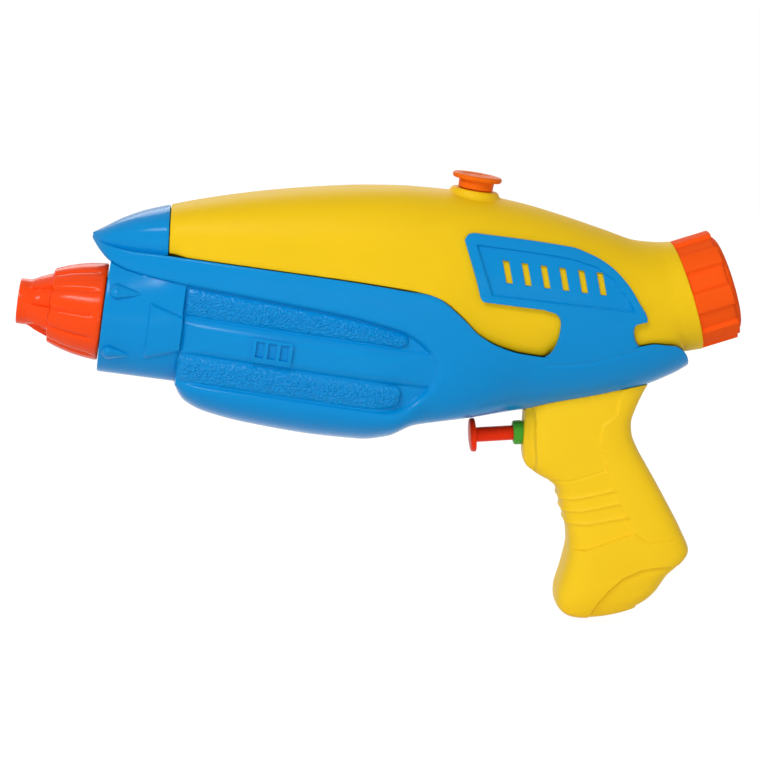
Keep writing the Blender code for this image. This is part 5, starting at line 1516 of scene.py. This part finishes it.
def make_grip(side, word, grid, material):
    """A grip half, with the screws' bores on the right."""
    verts, faces = shell(grid, GRIP_WALL)
    grip = add(f"grip_{word}_shell", mirrored(verts, side), faces, material)
    if side > 0:
        cut(grip, screw_cutter(GRIP_SCREWS, material))
        join(grip, *screw_wells(GRIP_SCREWS, depth_on(grid), material))
    piece(grip, "gun", "grip_yellow", f"grip_{word}")


# Turned and lobed pieces
def polar(name, rows, radius_at, count, material, origin, direction, tail):
    """A piece whose radius follows radius_at(z, turn) along the given rows, closed by a turned tail."""
    turn = turns(count)
    outline = [(radius_at(z, turn), z) for z in rows] + list(tail)
    rings = [placed(ring_at(r, z, turn), origin, direction) for r, z in outline]
    return skinned(name, rings, material, True, sharp=40.0)


def petal_place(turn):
    """Place across a petal, from -1 to 1, with its groove at both ends."""
    return (((turn - NOZZLE_TURN) * PETALS / (2 * np.pi)) % 1.0) * 2 - 1


def nozzle_radius(z, turn):
    """Radius of the lobed tip and of the petals behind it."""
    place = petal_place(turn)
    quarter = ((turn - NOZZLE_TURN) * POCKETS / (2 * np.pi)) % 1.0
    pocket = smooth_step(0.5, 0.5 + POCKET_SIDE, quarter) * smooth_step(1.0, 1.0 - POCKET_SIDE, quarter)
    cone = curve(NOZZLE_TIP, z) - POCKET_DEPTH * pocket * smooth_step(*POCKET_RUN, z)
    cone = cone - rounding(z, NOZZLE_TIP_ROUND)
    front = NOZZLE_STEP_X + PETAL_ARCH * np.abs(place) ** 3
    rise = smooth_step(0.0, PETAL_STEP, z - front)
    sharp = np.clip(1 - (1 - np.abs(place)) / PETAL_GROOVE_SHARE, 0.0, 1.0) ** 2
    broad, steep = PETAL_GROOVE_PARTS
    groove = PETAL_GROOVE * (broad * np.abs(place) ** 3 + steep * sharp)
    groove = groove * smooth_step(NOZZLE_BASE_X, NOZZLE_BASE_X - PETAL_FADE, z)
    petal = curve(PETAL_PROFILE, z) - groove - rounding(NOZZLE_BASE_X - z, NOZZLE_BASE_ROUND)
    return mix(cone, petal, rise)


def make_nozzle(material):
    """The nozzle outside, then its spigot, its inside and the bore for the jet."""
    rows = np.concatenate(
        [
            np.array((0.0, 0.0002, 0.0006)),
            np.linspace(0.0012, NOZZLE_STEP_X - 0.0003, 22),
            np.linspace(NOZZLE_STEP_X, NOZZLE_STEP_X + 0.0020, 13),
            np.linspace(NOZZLE_STEP_X + 0.0028, NOZZLE_BASE_X, 26),
        ]
    )
    flange = COLLAR_RING[1] + FIT
    inner = SPIGOT_RADIUS - NOZZLE_WALL
    bore = JET_RADIUS + FIT
    front = NOZZLE_STEP_X + NOZZLE_WALL
    tail = (
        (SPIGOT_RADIUS, NOZZLE_BASE_X),
        (SPIGOT_RADIUS, flange),
        (SPIGOT_FLANGE_RADIUS, flange),
        (SPIGOT_FLANGE_RADIUS, flange + SPIGOT_FLANGE),
        (inner, flange + SPIGOT_FLANGE),
        (inner - NOZZLE_WALL, front),
        (bore, front),
        (bore, 0.0012),
        (bore + 0.0010, 0.0002),
        (NOZZLE_FACE_RADIUS, 0.0002),
        (NOZZLE_FACE_RADIUS + 0.0004, 0.0),
    )
    origin = (0.0, 0.0, 0.0)
    direction = (1.0, 0.0, 0.0)
    nozzle = polar("nozzle_petals", rows, nozzle_radius, NOZZLE_SEGMENTS, material, origin, direction, tail)
    piece(nozzle, "nozzle", "nozzle_orange", "nozzle")


CAP_BORE = NECK_RADIUS + THREAD_HEIGHT + FIT
CAP_RECESS_RADIUS = CAP_BORE + CAP_WALL
CAP_ROOF_AT = NECK_LENGTH + FIT + LINER_LENGTH + FIT
CAP_LENGTH = CAP_ROOF_AT + CAP_ROOF


def cap_radius(z, turn):
    """Radius of the cap's lobes, of the valleys between them and of its domed end."""
    shoulder = CAP_LENGTH - CAP_RIM
    if z > shoulder:
        fall = math.sqrt(max(1 - ((z - shoulder) / CAP_RIM) ** 2, 0.0))
        return np.full_like(turn, mix(CAP_FLAT_RADIUS, CAP_DOME_RADIUS, fall))
    place = ((turn - CAP_TURN) * CAP_LOBES / (2 * np.pi)) % 1.0
    lobe = smooth_step(-CAP_LOBE_SIDE, CAP_LOBE_SIDE, np.minimum(place, 0.5 - place))
    foot = rounding(z - FIT, CAP_ROUND)
    valley = CAP_RECESS_RADIUS - CAP_VALLEY - rounding(shoulder - z, CAP_VALLEY_ROUND) - foot
    ridge = CAP_RECESS_RADIUS + CAP_LOBE - rounding(shoulder - z, CAP_ROUND) - foot
    return mix(valley, ridge, lobe)


def make_cap(material):
    """The cap's lobes and dome, closed inside by its roof and bore."""
    shoulder = CAP_LENGTH - CAP_RIM
    rows = np.concatenate(
        [
            FIT + np.array((0.0, 0.0001, 0.0003, 0.0006)),
            np.linspace(0.0012, shoulder - 0.0017, 8),
            shoulder - np.array((0.0013, 0.0010, 0.0007, 0.0004, 0.0002, 0.00008, 0.0)),
            shoulder + CAP_RIM * np.sin(np.linspace(0.02, np.pi / 2, 14)),
        ]
    )
    tail = (
        (CAP_FLAT_RADIUS - 0.0006, CAP_LENGTH),
        (CAP_INNER_RADIUS, CAP_LENGTH),
        (CAP_MIDDLE, CAP_LENGTH),
        (CAP_MIDDLE, CAP_ROOF_AT),
        (CAP_BORE, CAP_ROOF_AT),
        (CAP_BORE, FIT),
    )
    origin = (NECK_X, 0.0, NECK_Z)
    cap = polar("cap_shell", rows, cap_radius, CAP_SEGMENTS, material, origin, neck_direction(), tail)
    piece(cap, "cap", "cap_orange", "tank_cap")


def make_plug(material):
    """The plug, from its tip in the boss to the dished flange."""
    stem = BOSS_RISE + FIT
    flange = stem + PLUG_STEM_RISE
    top = flange + PLUG_FLANGE
    inside = BOSS_BORE - FIT
    tip = BOSS_RISE - PLUG_DEPTH
    profile = (
        (0.0, tip),
        (0.85 * inside, tip),
        (inside, tip + PLUG_DISH),
        (inside, stem),
        (PLUG_STEM_RADIUS - 0.0001, stem),
        (PLUG_STEM_RADIUS, flange - 0.0003),
        (PLUG_FLANGE_RADIUS - 0.0004, flange),
        (PLUG_FLANGE_RADIUS, flange + 0.0006),
        (PLUG_FLANGE_RADIUS, top - 0.0004),
        (PLUG_FLANGE_RADIUS - 0.0010, top),
        (PLUG_STEM_RADIUS - 0.0004, top - 0.0002),
        (PLUG_STEM_RADIUS - 0.0012, top - PLUG_DISH),
        (0.0, top - PLUG_DISH - 0.0002),
    )
    plug = turned("plug_turning", profile, material, *plug_axis(), segments=72, radius=0.0005)
    piece(plug, "plug", "plug_orange", "fill_plug")


def pump_axis():
    """Place of the gland's front face and direction of the pump's axis."""
    return np.array((PUMP_X, 0.0, PUMP_Z)), np.array((math.cos(PUMP_TILT), 0.0, math.sin(PUMP_TILT)))


def make_trigger(material):
    """The disc for the finger, the rod and the pin in the piston."""
    back = -ROD_OUT
    front = back - DISC_LENGTH
    piston = GLAND_LENGTH + FIT
    profile = (
        (0.0, front),
        (DISC_RADIUS * 0.55, front + 0.0001),
        (DISC_RADIUS * 0.92, front + 0.0005),
        (DISC_RADIUS, front + DISC_LENGTH * 0.4),
        (DISC_RADIUS, back - 0.0003),
        (DISC_RADIUS - 0.0005, back),
        (ROD_RADIUS + 0.0004, back),
        (ROD_RADIUS, back + 0.0005),
        (ROD_RADIUS, piston - FIT),
        (PISTON_PIN_RADIUS, piston - FIT),
        (PISTON_PIN_RADIUS, piston + PISTON_LENGTH),
        (0.0, piston + PISTON_LENGTH),
    )
    rod = turned("trigger_turning", profile, material, *pump_axis(), segments=64, radius=0.0004)
    piece(rod, "trigger", "trigger_red", "trigger_rod")


def make_gland(material):
    """The bush round the rod, with a pocket for the seal."""
    seat = GLAND_LENGTH - SEAL_LENGTH - FIT
    bore = ROD_RADIUS + FIT
    pocket = bore + SEAL_THICKNESS + FIT
    profile = (
        (bore, 0.0003),
        (bore + 0.0003, 0.0),
        (GLAND_RADIUS - 0.0005, 0.0),
        (GLAND_RADIUS, 0.0006),
        (GLAND_RADIUS, GLAND_HEAD - OPENING_GAP),
        (GLAND_NECK_RADIUS, GLAND_HEAD - OPENING_GAP),
        (GLAND_NECK_RADIUS, GLAND_LENGTH),
        (pocket, GLAND_LENGTH),
        (pocket, seat),
        (bore, seat),
    )
    bush = turned("gland_turning", profile, material, *pump_axis(), segments=56, radius=0.0003, closed=True)
    piece(bush, "gun", "bush_green", "gland_bush")


def make_spring(material):
    """Coil from the piston to the cylinder's end, carried by the trigger."""
    origin, direction = pump_axis()
    start = GLAND_LENGTH + FIT + PISTON_LENGTH + FIT + SPRING_WIRE / 2
    end = CYLINDER_END - CYLINDER_WALL - FIT - SPRING_WIRE / 2
    steps = SPRING_STEPS * SPRING_TURNS
    around = turns(SPRING_SIDES)[:, None]
    up = np.array((0.0, 0.0, 1.0))
    rings = []
    for k in range(steps + 1):
        turn = 2 * np.pi * SPRING_TURNS * k / steps
        out = np.array((math.cos(turn), math.sin(turn), 0.0))
        middle = SPRING_RADIUS * out + up * mix(start, end, k / steps)
        wire = SPRING_WIRE / 2 * (np.cos(around) * out + np.sin(around) * up)
        rings.append(placed(middle + wire, origin, direction))
    coil = skinned("spring_coil", rings, material, caps=(True, True), sharp=60.0)
    piece(coil, "trigger", "steel", "return_spring")
    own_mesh(coil)


# Materials
def linear(*screen):
    """A colour given as it shows on a screen, from 0 to 255, as scene values."""
    shares = [c / 255 for c in screen]
    return tuple(((s + 0.055) / 1.055) ** 2.4 if s > 0.04045 else s / 12.92 for s in shares)


def new_material(name):
    """A material, its node tree and its shader."""
    made = bpy.data.materials.new(name)
    made.use_nodes = True
    return made, made.node_tree, made.node_tree.nodes["Principled BSDF"]


def node(tree, kind, **inputs):
    """A shader node, with some of its inputs set."""
    made = tree.nodes.new(kind)
    for name, value in inputs.items():
        made.inputs[name.replace("_", " ")].default_value = value
    return made


def math_node(tree, operation):
    made = node(tree, "ShaderNodeMath")
    made.operation = operation
    return made


def link(tree, source, output, target, socket):
    """Joins an output of one node to an input of another."""
    tree.links.new(source.outputs[output], target.inputs[socket])


def plastic(name, colour, roughness, shine=0.3, grain=0.0004, grain_depth=0.00002, varied=0.03):
    """Moulded plastic: slight drifts of shade and gloss, and a fine grain in the skin."""
    made, tree, shader = new_material(name)
    place = node(tree, "ShaderNodeTexCoord")
    drift = node(tree, "ShaderNodeTexNoise", Scale=38.0, Detail=3.0)
    link(tree, place, "Object", drift, "Vector")
    shade = node(tree, "ShaderNodeValToRGB")
    for stop, factor in zip(shade.color_ramp.elements, (1 - varied, 1 + varied)):
        stop.color = (*[min(c * factor, 1.0) for c in colour], 1.0)
    link(tree, drift, "Fac", shade, "Fac")
    link(tree, shade, "Color", shader, "Base Color")
    fine = node(tree, "ShaderNodeTexNoise", Scale=1.0 / grain, Detail=2.0)
    link(tree, place, "Object", fine, "Vector")
    smooth, rough = GLOSS_SPREAD
    gloss = node(tree, "ShaderNodeMapRange", To_Min=roughness * smooth, To_Max=roughness * rough)
    link(tree, fine, "Fac", gloss, "Value")
    link(tree, gloss, "Result", shader, "Roughness")
    bump = node(tree, "ShaderNodeBump", Strength=0.5, Distance=grain_depth)
    link(tree, fine, "Fac", bump, "Height")
    link(tree, bump, "Normal", shader, "Normal")
    shader.inputs["Specular IOR Level"].default_value = shine
    return made


def metal(name, colour, roughness):
    """Metal with a finer grain than the plastics."""
    made = plastic(name, colour, roughness, 0.5, grain=0.0003, grain_depth=0.00001)
    made.node_tree.nodes["Principled BSDF"].inputs["Metallic"].default_value = 1.0
    return made


def make_materials():
    """Every material, from its colour on a screen, its roughness and its shine."""
    blue = linear(2, 141, 211)
    return {
        "tank": plastic("tank_plastic", linear(243, 199, 22), 0.48, 0.12),
        "grip": plastic("grip_plastic", linear(255, 207, 30), 0.42, 0.14, grain=0.0005),
        "blue": plastic("cover_plastic", blue, 0.18, 0.12),
        "pebbled": plastic("cover_pebble", blue, 0.25, 0.16, varied=0.06),
        "nozzle": plastic("nozzle_plastic", linear(252, 73, 4), 0.18, 0.17),
        "cap": plastic("cap_plastic", linear(255, 90, 20), 0.60, 0.05),
        "plug": plastic("plug_plastic", linear(246, 112, 20), 0.34, 0.03),
        "trigger": plastic("trigger_plastic", linear(250, 52, 8), 0.30, 0.10, varied=0.05),
        "green": plastic("bush_plastic", linear(74, 165, 46), 0.34, 0.15, varied=0.05),
        "natural": plastic("natural_plastic_look", linear(225, 226, 222), 0.35),
        "clear": plastic("hose_plastic", linear(214, 226, 230), 0.15, 0.5, varied=0.04),
        "rubber": plastic("seal_rubber", linear(32, 32, 34), 0.62, 0.3, grain_depth=0.00004, varied=0.15),
        "steel": metal("steel_look", linear(190, 192, 196), 0.28),
    }


SCREW_NAMES = tuple(f"{word}_screw_{k}" for word in ("cover", "grip") for k in (1, 2, 3))
NATURAL_NAMES = ("jet_tube", "piston", "pump_cylinder", "inlet_fitting", "outlet_elbow", "cap_liner")
CARRIED = (  # material, slot and nodes
    ("natural", "natural_plastic", NATURAL_NAMES),
    ("clear", "hose_clear", ("suction_hose", "delivery_hose")),
    ("rubber", "seal_black", ("rod_seal", "piston_seal")),
    ("steel", "steel", ("inlet_ball", "outlet_ball", *SCREW_NAMES)),
)


def dress_carried(materials):
    """Materials for the CAD nodes that are shown as they are."""
    for key, slot, names in CARRIED:
        for name in names:
            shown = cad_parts[name]
            shown.data.materials.clear()
            shown.data.materials.append(materials[key])


# Stage
def make_floor(height):
    """A plain floor that shows white, and takes a soft shadow."""
    mesh = bpy.data.meshes.new("floor")
    plan = ((-1, -1), (1, -1), (1, 1), (-1, 1))
    mesh.from_pydata([(x * FLOOR_REACH, y * FLOOR_REACH, height) for x, y in plan], [], [(0, 1, 2, 3)])
    floor = new_object("floor", mesh)
    made, tree, shader = new_material("floor_white")
    shader.inputs["Base Color"].default_value = FLOOR_COLOUR
    shader.inputs["Roughness"].default_value = 0.9
    shader.inputs["Specular IOR Level"].default_value = 0.0
    white = node(tree, "ShaderNodeEmission", Strength=FLOOR_GLOW)
    share = math_node(tree, "MULTIPLY")
    share.inputs[1].default_value = FLOOR_GLOW_SHARE
    link(tree, seen_directly(tree), 0, share, 0)
    blend = node(tree, "ShaderNodeMixShader")
    link(tree, share, 0, blend, "Fac")
    link(tree, shader, 0, blend, 1)
    link(tree, white, 0, blend, 2)
    link(tree, blend, 0, tree.nodes["Material Output"], "Surface")
    mesh.materials.append(made)


def seen_directly(tree):
    """A node that gives one to camera, mirror and see-through rays, and zero to rays that light something."""
    path = node(tree, "ShaderNodeLightPath")
    first = math_node(tree, "MAXIMUM")
    second = math_node(tree, "MAXIMUM")
    link(tree, path, "Is Camera Ray", first, 0)
    link(tree, path, "Is Glossy Ray", first, 1)
    link(tree, first, 0, second, 0)
    link(tree, path, "Is Transmission Ray", second, 1)
    return second


def make_world():
    """White surroundings that light the part less brightly than they look."""
    world = bpy.data.worlds.new("studio")
    world.use_nodes = True
    bpy.context.scene.world = world
    tree = world.node_tree
    ground = tree.nodes["Background"]
    ground.inputs["Color"].default_value = (1.0, 1.0, 1.0, 1.0)
    level = node(tree, "ShaderNodeMapRange", To_Min=WORLD_LIGHT, To_Max=1.0)
    link(tree, seen_directly(tree), 0, level, "Value")
    link(tree, level, "Result", ground, "Strength")


def area_light(name, place, target, size, power, in_reflections):
    """A soft lamp that faces a target."""
    data = bpy.data.lights.new(name, "AREA")
    data.shape = "RECTANGLE"
    data.size, data.size_y = size
    data.energy = power
    made = new_object(name, data)
    made.location = place
    made.rotation_euler = (Vector(target) - Vector(place)).to_track_quat("-Z", "Y").to_euler()
    made.visible_glossy = in_reflections


def make_camera():
    """The camera at the photograph's place."""
    data = bpy.data.cameras.new("photo_camera")
    data.sensor_width = SENSOR
    data.lens = FOCAL_PIXELS * SENSOR / IMAGE_SIZE
    data.clip_start, data.clip_end = 0.05, 200.0
    made = new_object("photo_camera", data)
    level = Matrix.Rotation(-CAMERA_ROLL, 3, "Y")
    aim = Matrix.Rotation(-CAMERA_TURN, 3, "Z") @ Matrix.Rotation(math.pi / 2 - CAMERA_RISE, 3, "X")
    made.matrix_world = Matrix.Translation(CAMERA_AT) @ (level @ aim).to_4x4()
    bpy.context.scene.camera = made


def build():
    materials = make_materials()
    make_tank(materials["tank"])
    make_plug_boss(materials["tank"])
    covers = cover_grid()
    grips = grip_grid()
    for side, word in ((-1.0, "left"), (1.0, "right")):
        make_cover(side, word, covers, materials["blue"])
        make_pads(side, word, materials["pebbled"])
        make_grip(side, word, grips, materials["grip"])
    make_nozzle(materials["nozzle"])
    make_cap(materials["cap"])
    make_plug(materials["plug"])
    make_trigger(materials["trigger"])
    make_gland(materials["green"])
    make_spring(materials["steel"])
    dress_carried(materials)
    make_camera()
    make_floor(CAD_BOX[0].z - FLOOR_GAP)
    make_world()
    for lamp in LAMPS:
        area_light(*lamp)
    bpy.context.scene.view_settings.view_transform = "Standard"


build()
